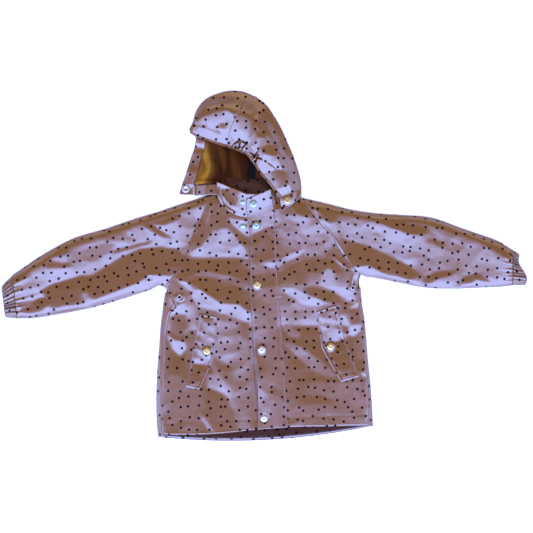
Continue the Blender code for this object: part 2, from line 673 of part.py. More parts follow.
def hood_line(row, cells=HOOD_ACROSS):
    """One line over the near side of the hood, from its opening edge to the crown fold and round it to
    the floor. row is (edge x, y, crown x, y, edge height, dome, bow)."""
    edge, crown = row[:2], row[2:4]
    edge_height, dome, bow = row[4:]
    length = np.linalg.norm(crown - edge)
    across = (crown - edge) / length
    side = np.array([-across[1], across[0]])
    t = np.linspace(0, 1, cells + 1)
    reach = (length - HOOD_FOLD) / length
    line = edge + across * (t * reach * length)[:, None] + side * (bow * 4 * t * (1 - t))[:, None]
    height = edge_height * (1 - t) + 2 * HOOD_FOLD * t + dome * 4 * t * (1 - t)
    height += creased(HOOD_CREASES, line[:, 0], line[:, 1]) * np.sin(np.pi * np.clip(t, 0, 1)) ** 0.5
    turns = np.radians((45, 90, 135, 180))
    around = np.column_stack([line[-1] + across * (np.sin(turns) * HOOD_FOLD)[:, None],
                              HOOD_FOLD * (1 + np.cos(turns))])
    return np.vstack([np.column_stack([line, height]), around])


def hood_table(cells, first, last):
    table = np.array([[*r.edge, *r.crown, r.edge_height, r.dome, r.bow] for r in HOOD_ROWS], float)
    return resample(table[first:last + 1], cells)


def make_hood_near(finish):
    last = len(HOOD_ROWS) - 1
    peak = np.array([hood_line(row) for row in hood_table(10, 0, PEAK_SEAM_ROW)])
    side = np.array([hood_line(row) for row in hood_table(13, PEAK_SEAM_ROW, last)])
    side[0, :, 0] += 2 * SEAM
    edge_gather(side)
    cloth("hood_peak", peak[:, ::-1], finish)
    cloth("hood_side", side[:, ::-1], finish)
    # the neck band of the near side hangs from the last line of the hood to the coat
    top = side[-1, :HOOD_ACROSS + 1].copy()
    top[:, 1] -= SEAM
    foot = curve(BAND_L_FOOT, HOOD_ACROSS + 1)
    foot = on_cloth(foot[None], DOUBLE_WALL + 1.2)[0]
    t = np.linspace(0, 1, 4)[:, None, None]
    band = foot[None] * (1 - t) + top[None] * t
    band[1:3, :, 2] += 1.2
    cloth("hood_band_l", band, finish, WALL)


def edge_gather(side):
    """The elastic along the opening edge draws it up into short waves."""
    rows = len(side)
    for r in range(1, rows - 3):
        lift = (1.6 if r % 2 else -1.6) * math.sin(math.pi * r / (rows - 3))
        side[r, 0, 2] += lift
        side[r, 1, 2] += lift * 0.5


def make_hood_far(shell, lining):
    grid = ruled(HOOD_FAR_SIDE, 8, 10)
    cloth("hood_far", np.dstack([grid, np.zeros(grid.shape[:2])]), shell, side=1)
    grid = ruled(FACING_ROWS, 3, 10)
    base = (WALL + LAY) * smooth_step(138, 148, grid[..., 1])
    bunch = 2.0 * smooth_step(208, 222, grid[..., 1])
    cloth("hood_facing", np.dstack([grid, base + bunch]), shell, side=1)
    grid = ruled(LINING_ROWS, 16, 9)
    relief = np.maximum(creased(LINING_CREASES, grid[..., 0], grid[..., 1]), 0)
    cloth("hood_lining", np.dstack([grid, WALL + LAY + relief]), lining, side=1)
    grid = ruled(BAND_R_ROWS, 8, 2)
    base = BAND_R_LIFT * smooth_step(-122, -104, grid[..., 0])
    cloth("hood_band_r", np.dstack([grid, base]), shell, DOUBLE_WALL, side=1)


def make_tab(finish):
    grid = ruled(TAB_ROWS, 2, 4)
    height = [[drop_on("hood_lining", *p) + LAY + 0.3 for p in row] for row in grid]
    cloth("hood_tab", np.dstack([grid, np.array(height)]), finish, side=1)


# ---------------------------------------------------------------- flaps and metal


def make_flap(name, table, finish):
    """A pocket flap, sewn along its outer edge, lying on the front and a little fuller at its middle."""
    grid = ruled(table, 4, 9)[::-1]
    if name == "flap_l":
        grid = grid[:, ::-1]
    lifted = on_cloth(grid, LAY + 0.6)
    rows, columns = grid.shape[:2]
    full = np.outer(np.sin(np.linspace(0, math.pi, rows)), np.sin(np.linspace(0, math.pi, columns)))
    lifted[..., 2] += FLAP_LOFT * full * snap_rest(grid[..., 0], grid[..., 1])
    cloth(name, lifted, finish, DOUBLE_WALL, side=1)


def drop_on(name, x, y):
    """Height of a sheet's visible face at a place, 0 where there is none."""
    hit = TOPS[name].ray_cast(Vector((x, y, 200)), Vector((0, 0, -1)))[0]
    return hit.z if hit else 0.0


def make_metal(snap, finish):
    profile = PROFILES[snap.profile]
    reach = max(r for r, _ in profile)
    turns = np.linspace(0, 2 * math.pi, 9)[:-1]
    spots = [(0, 0)] + [(reach * math.cos(a), reach * math.sin(a)) for a in turns]
    seat = max(drop_on(snap.on, snap.x + dx, snap.y + dy) for dx, dy in spots) + SEAM
    points = [Vector((r * MM, 0, z * MM)) for r, z in reversed(profile)]
    mesh = bpy.data.meshes.new(snap.name)
    edges = [(i, i + 1) for i in range(len(points) - 1)]
    if snap.profile in RING_PROFILES:
        edges.append((len(points) - 1, 0))
    mesh.from_pydata(points, edges, [])
    made = add_object(snap.name, mesh, finish)
    made.location = (snap.x * MM, snap.y * MM, seat * MM)
    turn = made.modifiers.new("turned", "SCREW")
    turn.steps = turn.render_steps = METAL_SIDES
    turn.use_merge_vertices = True
    turn.merge_threshold = 0.0001
    turn.use_smooth_shade = True
    return made


# ---------------------------------------------------------------- the whole coat


for old in list(bpy.data.objects):
    bpy.data.objects.remove(old, do_unlink=True)
PARTS = bpy.data.collections.new("toddler_raincoat")
bpy.context.scene.collection.children.link(PARTS)

make_back(SHELL)
make_hem_facing(SHELL)
make_fronts(SHELL)
make_placket(SHELL)
make_collar(SHELL)
make_sleeve("sleeve_r", SLEEVE_R, RAGLAN_R, SEAM, SHELL)
make_sleeve("sleeve_l", SLEEVE_L, RAGLAN_L, -SEAM, SHELL)
make_cuff("cuff_r", SLEEVE_R[0], CUFF_END_R, 0.5, 0, SHELL)
make_cuff("cuff_l", SLEEVE_L[0], CUFF_END_L, -0.5, CUFF_SWING_L, SHELL)
make_hood_near(SHELL)
make_hood_far(SHELL, LINING)
make_tab(TAB)
make_flap("flap_r", FLAP_R, SHELL)
make_flap("flap_l", FLAP_L, SHELL)
for each in SNAPS:
    make_metal(each, METAL)
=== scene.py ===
# %% [markdown]
# # A toddler's hooded raincoat, laid flat
# The coat lies on its back with the front snapped shut, the sleeves spread and the hood turned to one side.
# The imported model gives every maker's piece as a plain solid. Here each piece is made again as thin cloth in
# the same place, with its folds, gathers, stitching and print. The solids stay behind it for collision.

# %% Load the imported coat
import math
from collections import namedtuple

import bpy
import numpy as np
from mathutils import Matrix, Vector
from mathutils.bvhtree import BVHTree


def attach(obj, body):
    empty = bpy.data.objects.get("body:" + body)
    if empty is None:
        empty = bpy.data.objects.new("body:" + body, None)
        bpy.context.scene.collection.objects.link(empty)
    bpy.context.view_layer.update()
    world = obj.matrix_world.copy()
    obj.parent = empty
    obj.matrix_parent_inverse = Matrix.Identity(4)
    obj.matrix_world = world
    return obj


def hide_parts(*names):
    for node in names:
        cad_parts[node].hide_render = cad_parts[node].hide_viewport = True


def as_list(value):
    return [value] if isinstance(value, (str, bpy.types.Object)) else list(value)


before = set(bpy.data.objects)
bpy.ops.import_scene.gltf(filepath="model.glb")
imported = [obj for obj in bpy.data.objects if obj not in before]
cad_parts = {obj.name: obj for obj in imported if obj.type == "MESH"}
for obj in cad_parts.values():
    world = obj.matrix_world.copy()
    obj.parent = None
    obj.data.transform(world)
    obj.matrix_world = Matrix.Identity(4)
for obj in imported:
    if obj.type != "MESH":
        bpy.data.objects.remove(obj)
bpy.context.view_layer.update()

MM = 0.001
COAT = bpy.data.collections.new("toddler_raincoat")
bpy.context.scene.collection.children.link(COAT)

# %% [markdown]
# ## Curves
# A pattern cutter draws with a few points and a smooth line through them. These helpers do the same: one puts
# evenly spaced points on a smooth curve, one reads a table of rows at finer steps, and one measures how far a
# place lies from a line. Everything below works in millimetres and is turned into metres when a mesh is made.

# %% Curve helpers
def smooth_between(a, b, c, d, t):
    """The smooth curve from b to c, whose slopes come from the neighbours a and d; t runs from 0 to 1."""
    return 0.5 * (2 * b + (c - a) * t + (2 * a - 5 * b + 4 * c - d) * t**2 + (3 * b - a - 3 * c + d) * t**3)


def curve(points, count):
    """Count points, evenly spaced along a smooth curve through the given ones."""
    p = np.asarray(points, float)
    if len(p) > 2:
        ends = np.vstack([2 * p[0] - p[1], p, 2 * p[-1] - p[-2]])
        dense = []
        for a, b, c, d in zip(ends, ends[1:], ends[2:], ends[3:]):
            t = np.linspace(0, 1, 12, endpoint=False)[:, None]
            dense.append(smooth_between(a, b, c, d, t))
        p = np.vstack(dense + [p[-1:]])
    length = np.concatenate([[0], np.cumsum(np.linalg.norm(np.diff(p, axis=0), axis=1))])
    at = np.linspace(0, length[-1], count)
    return np.stack([np.interp(at, length, p[:, k]) for k in range(p.shape[1])], axis=1)


def resample(points, cells):
    """A column of a table read at even steps of its row number, joined by a smooth curve."""
    p = np.asarray(points, float)
    if p.ndim == 1:
        p = p[:, None]
    ends = np.vstack([2 * p[0] - p[1], p, 2 * p[-1] - p[-2]])
    at = np.linspace(0, len(p) - 1, cells + 1)
    i = np.minimum(at.astype(int), len(p) - 2)
    t = (at - i)[:, None]
    a, b, c, d = (ends[i + k] for k in range(4))
    return smooth_between(a, b, c, d, t)


def ruled(rows, across, down):
    """A grid between two edges: smooth rows of (start, end) points, with `across` and `down` cells."""
    starts = resample([row[0] for row in rows], down)
    ends = resample([row[1] for row in rows], down)
    t = np.linspace(0, 1, across + 1)[None, :, None]
    return starts[:, None] * (1 - t) + ends[:, None] * t


def rounded_rim(away, height, width):
    """Height of cloth near a folded edge: it rounds up over the fold, then swells to its full height."""
    round_part = FOLD_RADIUS - np.clip(away, 0, FOLD_RADIUS)
    fold = FOLD_RADIUS + np.sqrt(FOLD_RADIUS**2 - round_part**2)
    return fold + (height - 2 * FOLD_RADIUS) * (1 - np.exp(-np.clip(away - FOLD_RADIUS, 0, None) / width))


def smooth_step(low, high, value):
    t = np.clip((value - low) / (high - low), 0, 1)
    return t * t * (3 - 2 * t)


def mix(a, b, t):
    return np.asarray(a, float) * (1 - t) + np.asarray(b, float) * t


def length_of(path):
    return float(np.linalg.norm(np.diff(path, axis=0), axis=1).sum())


def distance_along(path, x, y):
    """Distance from each place to a polyline, and how far along it the nearest point is, from 0 to 1."""
    best = np.full(np.shape(x), np.inf)
    along = np.zeros(np.shape(x))
    steps = len(path) - 1
    for i, (a, b) in enumerate(zip(path, path[1:])):
        dx, dy = b - a
        t = np.clip(((x - a[0]) * dx + (y - a[1]) * dy) / (dx * dx + dy * dy), 0, 1)
        away = np.hypot(x - a[0] - t * dx, y - a[1] - t * dy)
        nearer = away < best
        best = np.where(nearer, away, best)
        along = np.where(nearer, (i + t) / steps, along)
    return best, along


def line_x(line, y):
    """Where a line that runs down the coat crosses the height y."""
    p = curve(line, 60)
    order = np.argsort(p[:, 1])
    return np.interp(y, p[order, 1], p[order, 0])


# %% [markdown]
# ## The pattern
# The outlines are the coat's own: two raglan sleeves that taper to elastic cuffs, side folds, a placket that
# covers the closing, and a hem that dips at the back. They are the numbers that the solids were made from, so
# the cloth lands on the solids without any fitting. `_r` is the wearer's right, which lies at -X.

# %% Outlines of the sleeves and body
SEAM = 0.12  # clear gap between two pieces that are sewn together
LAY = 0.45  # clear gap under a piece that lies on another
WALL = 1.2  # the solid's wall; the cloth itself is thinner
DOUBLE_WALL = 1.8
CLOTH = 0.8  # thickness of one layer of coated cloth with its facing
FOLD_RADIUS = 2.4
LOFT = 9.8
RIM = 5.0  # how fast the cloth swells from a folded edge to its loft
RIM_START = 0.6  # distance from the edge at which the upper cloth's points begin

Station = namedtuple("Station", "top bottom")
SideRow = namedtuple("SideRow", "right left edge_y seam_y")

SLEEVE_R = [
    Station((-452, -16), (-445, -96)),
    Station((-428, 0), (-412, -95)),
    Station((-403, 17), (-371, -88.5)),
    Station((-346, 48), (-310, -76.5)),
    Station((-288, 65.5), (-252, -59.5)),
    Station((-230, 85), (-208, -45)),
    Station((-190, 97), (-192, -37)),
    Station((-155, 109), (-186, -37)),
    Station((-124, 119), (-183, -38)),
    Station((-92, 131), (-180, -39)),
]
SLEEVE_L = [
    Station((446, 29.5), (448, -36)),
    Station((434, 37), (424, -39)),
    Station((418, 46), (396, -40)),
    Station((360, 66), (345, -42)),
    Station((302, 86), (290, -40)),
    Station((245, 91), (228, -28)),
    Station((200, 94), (198, -22)),
    Station((155, 101), (184, -20)),
    Station((112, 112), (179, -18)),
    Station((69, 122), (175, -16)),
]
CUFF_END_R = Station((-473, -37), (-466, -94))
CUFF_END_L = Station((461, 20), (471, -36))
CUFF_SWING_L = 4.8
RAGLAN_R = [(-92, 131), (-101, 114), (-117, 78), (-133, 44), (-146, 8), (-165, -20), (-180, -39)]
RAGLAN_L = [(69, 122), (80, 104), (101, 76), (122, 53), (143, 17), (162, -4), (175, -16)]
SIDE_ROWS = [
    SideRow((-184, -304), (190, -288), -295, -291),
    SideRow((-185, -285), (189, -268), -280, -273),
    SideRow((-184, -251), (188, -238), -249, -242),
    SideRow((-183, -220), (187, -210), -217, -210),
    SideRow((-181, -181), (184, -177), -181, -176),
    SideRow((-179, -143), (181, -145), -143, -140),
    SideRow((-175, -113), (178, -116), -112, -109),
    SideRow((-170, -87), (175, -91), -84, -80),
    SideRow((-159, -73), (172, -73), -68, -64),
    SideRow((-164, -60), (170, -57), -51, -48),
    SideRow((-171, -49), (168, -40), -33, -30),
]
UPPER_EDGE_Y = [-18, -2, 13, 27, 43, 63, 80, 86]
UPPER_SEAM_Y = [-12, 3, 18, 33, 52, 74, 90, 97]
COLLAR_EDGE_Y = [97, 108, 119]
COLLAR_SEAM_Y = [110, 123, 138]
SIDE_FOLD_R = [(-177, -45), (-180, -58), (-183, -80), (-187, -113), (-189, -143), (-192, -181),
               (-194, -220), (-194.5, -251), (-193.5, -285), (-191, -310)]
SIDE_FOLD_L = [(175, -24), (175, -48), (177, -71), (181, -94), (184, -125), (187, -161), (190, -192),
               (193, -224), (195, -255), (197, -289)]
PLACKET_EDGE = [(-32, 119), (-31, 90), (-25, 55), (-25, -60), (-22, -94), (-19, -148), (-14, -180),
                (-12, -233), (-11, -295)]
PLACKET_SEAM = [(13, 138), (16, 115), (19, 92), (21, 60), (24, -26), (29, -80), (33, -140), (38, -217),
                (43, -292)]
NECK_R = [(-92, 131), (-84, 119), (-76, 109), (-59, 94), (-45, 88), (-31, 86)]
NECK_L = [(18, 97), (30, 100), (46, 106), (69, 122)]
FRONT_HEM_SAG = -4.0

# %% [markdown]
# ## How the cloth lies
# Coated cotton lies in broad soft planes that meet along fairly crisp creases, and its shine changes at every
# one of them. A simulated drape would fold wherever it liked, so the large folds are given one by one. `Lean`
# tips a patch of cloth towards the neck or the hem, and `Crease` draws one ridge or trough along a path.

# %% Broad leans and drawn creases
Lean = namedtuple("Lean", "slope outline")
Crease = namedtuple("Crease", "path width height")
LEAN_SLOPE = 0.13  # slope of a lean of strength 1, next to the neutral one
NEUTRAL_SLOPE = 0.022  # the slope that faces halfway between the viewer and the edge of the light
NEUTRAL_RISE = 0.00025  # how much that slope grows with each mm towards the hood
LEAN_EDGE = 3.0  # the slope changes over this distance on both sides of an outline
FIELD_STEP = 1.5
FIELD_MARGIN = 60
SIDEWAYS = 0.12  # how much a slope across the coat costs, next to a wrong slope along it
EVEN_OUT = 100.0  # heights even out over this distance
RIPPLE_WAVES = 14

COAT_LEANS = [
    Lean(1.1, [(-482, -48), (-367, 44), (-94, 132), (-133, 6), (-178, -37), (-313, -91), (-466, -109)]),
    Lean(-0.3, [(-166, -26), (-94, 129), (65, 122), (176, -22), (119, 3), (-25, 17), (-122, 3)]),
    Lean(0.75, [(65, 127), (146, 112), (317, 93), (479, 19), (464, -48), (245, -51), (169, -22), (126, 39)]),
    Lean(-1.6, [(-185, -120), (-25, -110), (190, -110), (200, -310), (-190, -310)]),
    Lean(0.4, [(25, 92), (60, 92), (112, 70), (126, 40), (110, 15), (60, 28), (25, 40)]),
    Lean(0.3, [(-108, -98), (-25, -90), (-25, -296), (-50, -296), (-68, -242), (-106, -170)]),
    Lean(-0.1, [(-22, -62), (24, -62), (34, -200), (40, -295), (-10, -295), (-14, -200)]),
    Lean(0.7, [(-186, -60), (-170, -60), (-181, -140), (-184, -220), (-185, -310), (-197, -310), (-199, -220),
               (-194, -120)]),
    Lean(0.25, [(178, -60), (186, -160), (190, -290), (200, -290), (197, -220), (188, -130), (180, -60)]),
    Lean(0.7, [(-120, -90), (-84, -91), (-86, -130), (-96, -178), (-128, -178), (-124, -140)]),
    Lean(0.5, [(92, -82), (130, -70), (146, -130), (110, -150)]),
    Lean(0.9, [(-68, 68), (-50, 53), (-27, 17), (-27, 10), (-50, 14), (-81, 15), (-106, 14), (-130, 15),
               (-139, 22), (-112, 35), (-99, 53), (-92, 64)]),
    Lean(0.9, [(-63, 86), (-29, 80), (-27, 50), (-40, 58), (-50, 66), (-61, 76)]),
    Lean(0.6, [(-43, 40), (-29, 39), (-29, 28), (-38, 30)]),
    Lean(-0.5, [(-61, 76), (-50, 66), (-27, 40), (-25, 22), (-36, 33), (-54, 57)]),
    Lean(-0.5, [(-95, 87), (-81, 94), (-72, 89), (-77, 71), (-85, 62), (-92, 71)]),
    Lean(-1, [(-122, 78), (-108, 87), (-104, 71), (-108, 53), (-112, 35), (-121, 33), (-126, 46),
              (-124, 64)]),
    Lean(-1, [(-139, 12), (-108, 10), (-68, 10), (-43, 6), (-25, -12), (-25, -32), (-40, -24), (-68, -15),
              (-108, -8), (-121, -14), (-137, -24), (-158, -21), (-149, -4)]),
    Lean(0.3, [(-110, -10), (-72, -17), (-47, -24), (-25, -44), (-43, -35), (-68, -26), (-104, -19)]),
    Lean(-1, [(-135, -26), (-121, -19), (-86, -26), (-43, -39), (-25, -48), (-23, -84), (-31, -82),
              (-43, -69), (-76, -69), (-103, -51), (-122, -39)]),
    Lean(1, [(-158, -24), (-133, -35), (-103, -53), (-76, -69), (-43, -71), (-25, -89), (-23, -109),
             (-43, -98), (-76, -87), (-104, -78), (-124, -71), (-131, -46), (-151, -32)]),
    Lean(-0.3, [(-167, -40), (-148, -35), (-133, -48), (-128, -69), (-137, -71), (-155, -68)]),
    Lean(0.9, [(-167, -82), (-153, -71), (-142, -68), (-139, -78), (-144, -87), (-162, -89)]),
    Lean(-0.9, [(-169, -94), (-157, -89), (-142, -89), (-135, -98), (-137, -120), (-146, -130), (-158, -130),
                (-171, -118)]),
    Lean(1, [(-176, -122), (-162, -134), (-144, -136), (-140, -150), (-151, -165), (-166, -150)]),
    Lean(-0.9, [(-182, -213), (-169, -197), (-148, -197), (-133, -222), (-104, -226), (-72, -237),
                (-54, -264), (-49, -294), (-88, -298), (-133, -300), (-173, -298), (-182, -260)]),
    Lean(0.5, [(-104, -195), (-90, -195), (-72, -213), (-54, -235), (-49, -260), (-59, -242), (-76, -231),
               (-104, -222)]),
    Lean(-0.7, [(-92, -166), (-74, -176), (-59, -181), (-56, -202), (-59, -217), (-76, -202), (-88, -181)]),
    Lean(-0.5, [(-47, -102), (-25, -102), (-22, -123), (-25, -140), (-43, -123)]),
    Lean(0.9, [(-115, -266), (-103, -280), (-90, -300), (-99, -298), (-110, -280)]),
    Lean(0.9, [(-25, 123), (22, 136), (25, 71), (7, 68), (-25, 53)]),
    Lean(-0.4, [(-23, 51), (-4, 62), (14, 64), (11, 50), (-11, 42)]),
    Lean(-0.7, [(-22, 21), (-4, 26), (25, 26), (22, 17), (0, 8), (-22, 6)]),
    Lean(0.9, [(-5, 3), (11, -4), (25, -4), (41, 6), (65, 17), (72, 28), (47, 22), (31, 12), (11, 6)]),
    Lean(-0.9, [(-14, -19), (7, -19), (29, -12), (47, -1), (72, 10), (108, 12), (126, 10), (149, -21),
                (140, -28), (121, -4), (112, -3), (101, -19), (81, -19), (72, -35), (45, -28), (22, -37),
                (-11, -40)]),
    Lean(0.95, [(70, -33), (79, -19), (101, -21), (113, -4), (124, -10), (131, -24), (153, -39), (167, -57),
                (162, -66), (133, -51), (112, -39), (86, -32)]),
    Lean(0.9, [(29, -42), (47, -40), (72, -50), (94, -60), (119, -69), (97, -73), (70, -69), (47, -55)]),
    Lean(-1, [(70, -42), (86, -37), (112, -46), (137, -57), (148, -68), (126, -68), (97, -58), (79, -51)]),
    Lean(1.3, [(155, -78), (162, -71), (176, -62), (176, -69), (164, -76)]),
    Lean(-0.8, [(137, -68), (158, -66), (155, -78), (167, -78), (176, -73), (180, -102), (158, -107),
                (148, -94)]),
    Lean(0.9, [(153, -109), (169, -107), (182, -105), (175, -118), (162, -130), (153, -125)]),
    Lean(-0.8, [(160, -140), (169, -125), (184, -114), (189, -143), (185, -165), (169, -172)]),
    Lean(1, [(173, -194), (185, -192), (193, -201), (180, -202)]),
    Lean(-0.9, [(50, 107), (65, 118), (79, 116), (85, 96), (76, 87), (59, 94)]),
    Lean(-1, [(83, 114), (101, 114), (133, 104), (131, 80), (119, 76), (99, 89)]),
    Lean(0.7, [(54, 94), (76, 86), (90, 87), (108, 75), (112, 57), (104, 40), (86, 40), (72, 60), (58, 78)]),
    Lean(0.4, [(126, 75), (135, 82), (139, 60), (146, 35), (137, 24), (126, 46)]),
    Lean(0.4, [(70, 33), (90, 35), (97, 24), (86, 15), (74, 17)]),
    Lean(-0.5, [(36, -141), (54, -138), (83, -158), (119, -184), (131, -201), (112, -202), (79, -184),
                (50, -156)]),
    Lean(-0.4, [(29, -107), (50, -111), (67, -122), (63, -132), (43, -127)]),
    Lean(-0.6, [(-4, -213), (18, -217), (34, -228), (31, -238), (11, -233), (-4, -226)]),
    Lean(-0.9, [(74, -213), (101, -208), (137, -210), (173, -206), (194, -210), (196, -246), (184, -260),
                (184, -285), (119, -291), (47, -292), (40, -264), (72, -251), (101, -249), (124, -244),
                (104, -233), (74, -233)]),
    Lean(0.9, [(185, -260), (194, -253), (198, -285), (185, -278)]),
    Lean(-1, [(-468, -40), (-454, -24), (-436, -8), (-403, 15), (-382, 32), (-367, 35), (-364, 26),
              (-382, 17), (-396, 4), (-421, -6), (-436, -24), (-457, -42)]),
    Lean(1.1, [(-425, -26), (-416, -14), (-392, -8), (-367, -6), (-349, -14), (-353, -24), (-378, -32),
               (-396, -37), (-409, -37)]),
    Lean(0.8, [(-457, -48), (-443, -40), (-425, -44), (-430, -57), (-421, -69), (-439, -68), (-454, -60)]),
    Lean(-0.6, [(-396, 3), (-382, 8), (-364, 3), (-346, 6), (-342, -1), (-364, -4), (-389, -4)]),
    Lean(-0.5, [(-374, 30), (-360, 32), (-349, 26), (-360, 19), (-378, 17)]),
    Lean(0.9, [(-364, 35), (-346, 42), (-313, 48), (-301, 44), (-317, 32), (-338, 28), (-353, 32)]),
    Lean(0.6, [(-346, 24), (-317, 33), (-288, 40), (-263, 40), (-277, 24), (-299, 10), (-324, -4), (-346, -4),
               (-355, 10)]),
    Lean(-0.8, [(-403, -46), (-385, -35), (-356, -26), (-331, -19), (-310, -19), (-284, -1), (-252, 17),
              (-223, 30), (-187, 33), (-155, 30), (-144, 15), (-149, -4), (-166, -19), (-187, -17),
              (-205, -17), (-227, -32), (-259, -44), (-292, -58), (-308, -64), (-319, -48), (-328, -50),
              (-326, -62), (-315, -76), (-353, -80), (-385, -78), (-389, -60)]),
    Lean(0.9, [(-328, -55), (-317, -48), (-310, -66), (-310, -76), (-320, -66)]),
    Lean(-1, [(-443, -71), (-421, -71), (-407, -60), (-392, -58), (-387, -68), (-396, -80), (-409, -91),
              (-421, -94), (-432, -89), (-439, -80)]),
    Lean(1, [(-410, -94), (-392, -82), (-353, -82), (-315, -78), (-306, -66), (-274, -55), (-241, -40),
             (-211, -22), (-202, -30), (-211, -40), (-234, -50), (-274, -62), (-310, -76), (-367, -89)]),
    Lean(-0.8, [(-234, -48), (-223, -42), (-207, -39), (-211, -50), (-225, -51)]),
    Lean(1, [(-263, 69), (-248, 75), (-227, 66), (-202, 55), (-173, 48), (-167, 40), (-187, 40), (-220, 46),
             (-241, 57)]),
    Lean(0.5, [(-295, 53), (-270, 64), (-248, 57), (-230, 46), (-259, 44), (-292, 46)]),
    Lean(-0.8, [(-218, 73), (-205, 76), (-184, 62), (-167, 50), (-184, 51), (-205, 64)]),
    Lean(-0.6, [(-202, 76), (-180, 84), (-155, 94), (-155, 82), (-180, 73)]),
    Lean(0.5, [(-216, 80), (-191, 94), (-158, 102), (-173, 89), (-202, 78)]),
    Lean(0.5, [(-151, 30), (-137, 37), (-131, 28), (-142, 22)]),
    Lean(-0.4, [(-274, 26), (-241, 35), (-205, 44), (-205, 39), (-241, 30), (-270, 21)]),
    Lean(-1.1, [(166, 93), (194, 93), (248, 87), (252, 75), (281, 73), (295, 66), (288, 55), (259, 58),
                (230, 68), (198, 82)]),
    Lean(1, [(252, 76), (263, 84), (299, 87), (324, 80), (353, 66), (378, 50), (394, 35), (371, 30),
             (346, 40), (317, 50), (295, 69), (270, 73)]),
    Lean(1.1, [(144, 98), (166, 94), (198, 80), (230, 66), (263, 55), (292, 50), (317, 35), (317, 21),
               (301, 12), (274, 22), (245, 37), (209, 57), (173, 73), (148, 86)]),
    Lean(-0.5, [(295, 46), (310, 46), (328, 37), (317, 33)]),
    Lean(-1, [(144, 46), (169, 40), (198, 30), (230, 14), (263, -1), (275, -14), (266, -28), (245, -32),
              (223, -26), (198, -6), (169, -1), (151, -4)]),
    Lean(-0.9, [(279, -39), (292, -21), (317, -10), (346, -10), (335, -19), (310, -24), (299, -37)]),
    Lean(-1, [(340, -42), (355, -30), (362, -19), (385, -15), (403, -24), (416, -35), (400, -32), (383, -24),
              (367, -39)]),
    Lean(1, [(171, -19), (176, -4), (187, 1), (212, -14), (225, -26), (194, -22)]),
    Lean(0.7, [(410, -6), (425, 3), (443, 8), (439, -3), (421, -8)]),
    Lean(0.8, [(419, -28), (436, -17), (450, -19), (446, -33), (425, -37)]),
    Lean(-1.2, [(356, 62), (389, 55), (425, 42), (459, 19), (459, 8), (443, 10), (414, 28), (378, 50)]),
]
COAT_CREASES = [
    Crease([(-174, -45), (-156, -73), (-170, -86), (-173, -116)], 4, 1.1),
    Crease([(-158, -24), (-130, -34), (-88, -58)], 5, 0.5),
    Crease([(-99, 123), (-97, 108), (-106, 71)], 3.0, 0.9),
    Crease([(79, 115), (94, 100), (110, 89)], 4, 0.8),
    Crease([(127, 15), (151, -6)], 3.5, 0.8),
    Crease([(104, 76), (130, 44), (158, 4)], 3.0, 0.5),
    Crease([(-118, -208), (-102, -266), (-90, -300)], 3.0, 0.4),
    Crease([(-25, -110), (-18, -165), (-15, -200), (-13, -250), (-12, -305)], 3.2, -2.6),
]

# %% [markdown]
# ## From slopes to heights
# A leaning patch says how steep the cloth is, but a mesh needs its height, and neighbouring patches have to
# join without a step. So the whole sheet is solved at once: a Fourier transform splits the wanted slope into
# waves, and each wave of slope gives one wave of height.

# %% Heights from leans and creases
def depth_inside(outline, x, y):
    """How far inside an outline each place lies, in mm; negative outside."""
    ring = np.array(outline + outline[:1], float)
    away, _ = distance_along(ring, x, y)
    inside = np.zeros(np.shape(x), bool)
    for (ax, ay), (bx, by) in zip(ring, ring[1:]):
        if ay != by:
            inside ^= ((ay > y) != (by > y)) & (x < ax + (y - ay) / (by - ay) * (bx - ax))
    return np.where(inside, away, -away)


def leaning_cloth(leans, low, high):
    """A height for each place between two corners, whose slope towards the neck follows the leans as nearly
    as one unbroken sheet can. Each wave of the wanted slope gives one wave of the height."""
    xs = np.arange(low[0] - FIELD_MARGIN, high[0] + FIELD_MARGIN, FIELD_STEP)
    ys = np.arange(low[1] - FIELD_MARGIN, high[1] + FIELD_MARGIN, FIELD_STEP)
    wanted = np.zeros((len(ys), len(xs)))
    for lean in leans:
        first = np.min(lean.outline, axis=0) - LEAN_EDGE
        final = np.max(lean.outline, axis=0) + LEAN_EDGE
        c0, c1 = np.searchsorted(xs, (first[0], final[0]))
        r0, r1 = np.searchsorted(ys, (first[1], final[1]))
        x, y = np.meshgrid(xs[c0:c1], ys[r0:r1])
        share = smooth_step(-LEAN_EDGE, LEAN_EDGE, depth_inside(lean.outline, x, y))
        slope = NEUTRAL_SLOPE + NEUTRAL_RISE * y + LEAN_SLOPE * lean.slope
        wanted[r0:r1, c0:c1] = mix(wanted[r0:r1, c0:c1], slope, share)
    kx = 2 * math.pi * np.fft.fftfreq(len(xs), FIELD_STEP)[None]
    ky = 2 * math.pi * np.fft.fftfreq(len(ys), FIELD_STEP)[:, None]
    waves = -1j * ky * np.fft.fft2(wanted) / (ky**2 + SIDEWAYS * kx**2 + EVEN_OUT**-2)
    height = np.real(np.fft.ifft2(waves))

    def at(px, py):
        u = np.clip((np.asarray(px) - xs[0]) / FIELD_STEP, 0, len(xs) - 1.001)
        v = np.clip((np.asarray(py) - ys[0]) / FIELD_STEP, 0, len(ys) - 1.001)
        i, j = u.astype(int), v.astype(int)
        u, v = u - i, v - j
        lower = height[j, i] * (1 - u) + height[j, i + 1] * u
        upper = height[j + 1, i] * (1 - u) + height[j + 1, i + 1] * u
        return lower * (1 - v) + upper * v

    print(f"leaning cloth: {len(leans)} leans, heights {height.min():.1f} to {height.max():.1f} mm")
    return at


def creased(creases, x, y):
    """The height that a set of creases adds: each one a soft ridge that fades at both ends."""
    height = np.zeros(np.shape(x))
    for crease in creases:
        away, along = distance_along(curve(crease.path, 14), x, y)
        fade = np.sin(np.pi * np.clip(along, 0.02, 0.98)) ** 0.6
        height += crease.height * fade * np.exp(-((away / crease.width) ** 2) * 1.6)
    return height


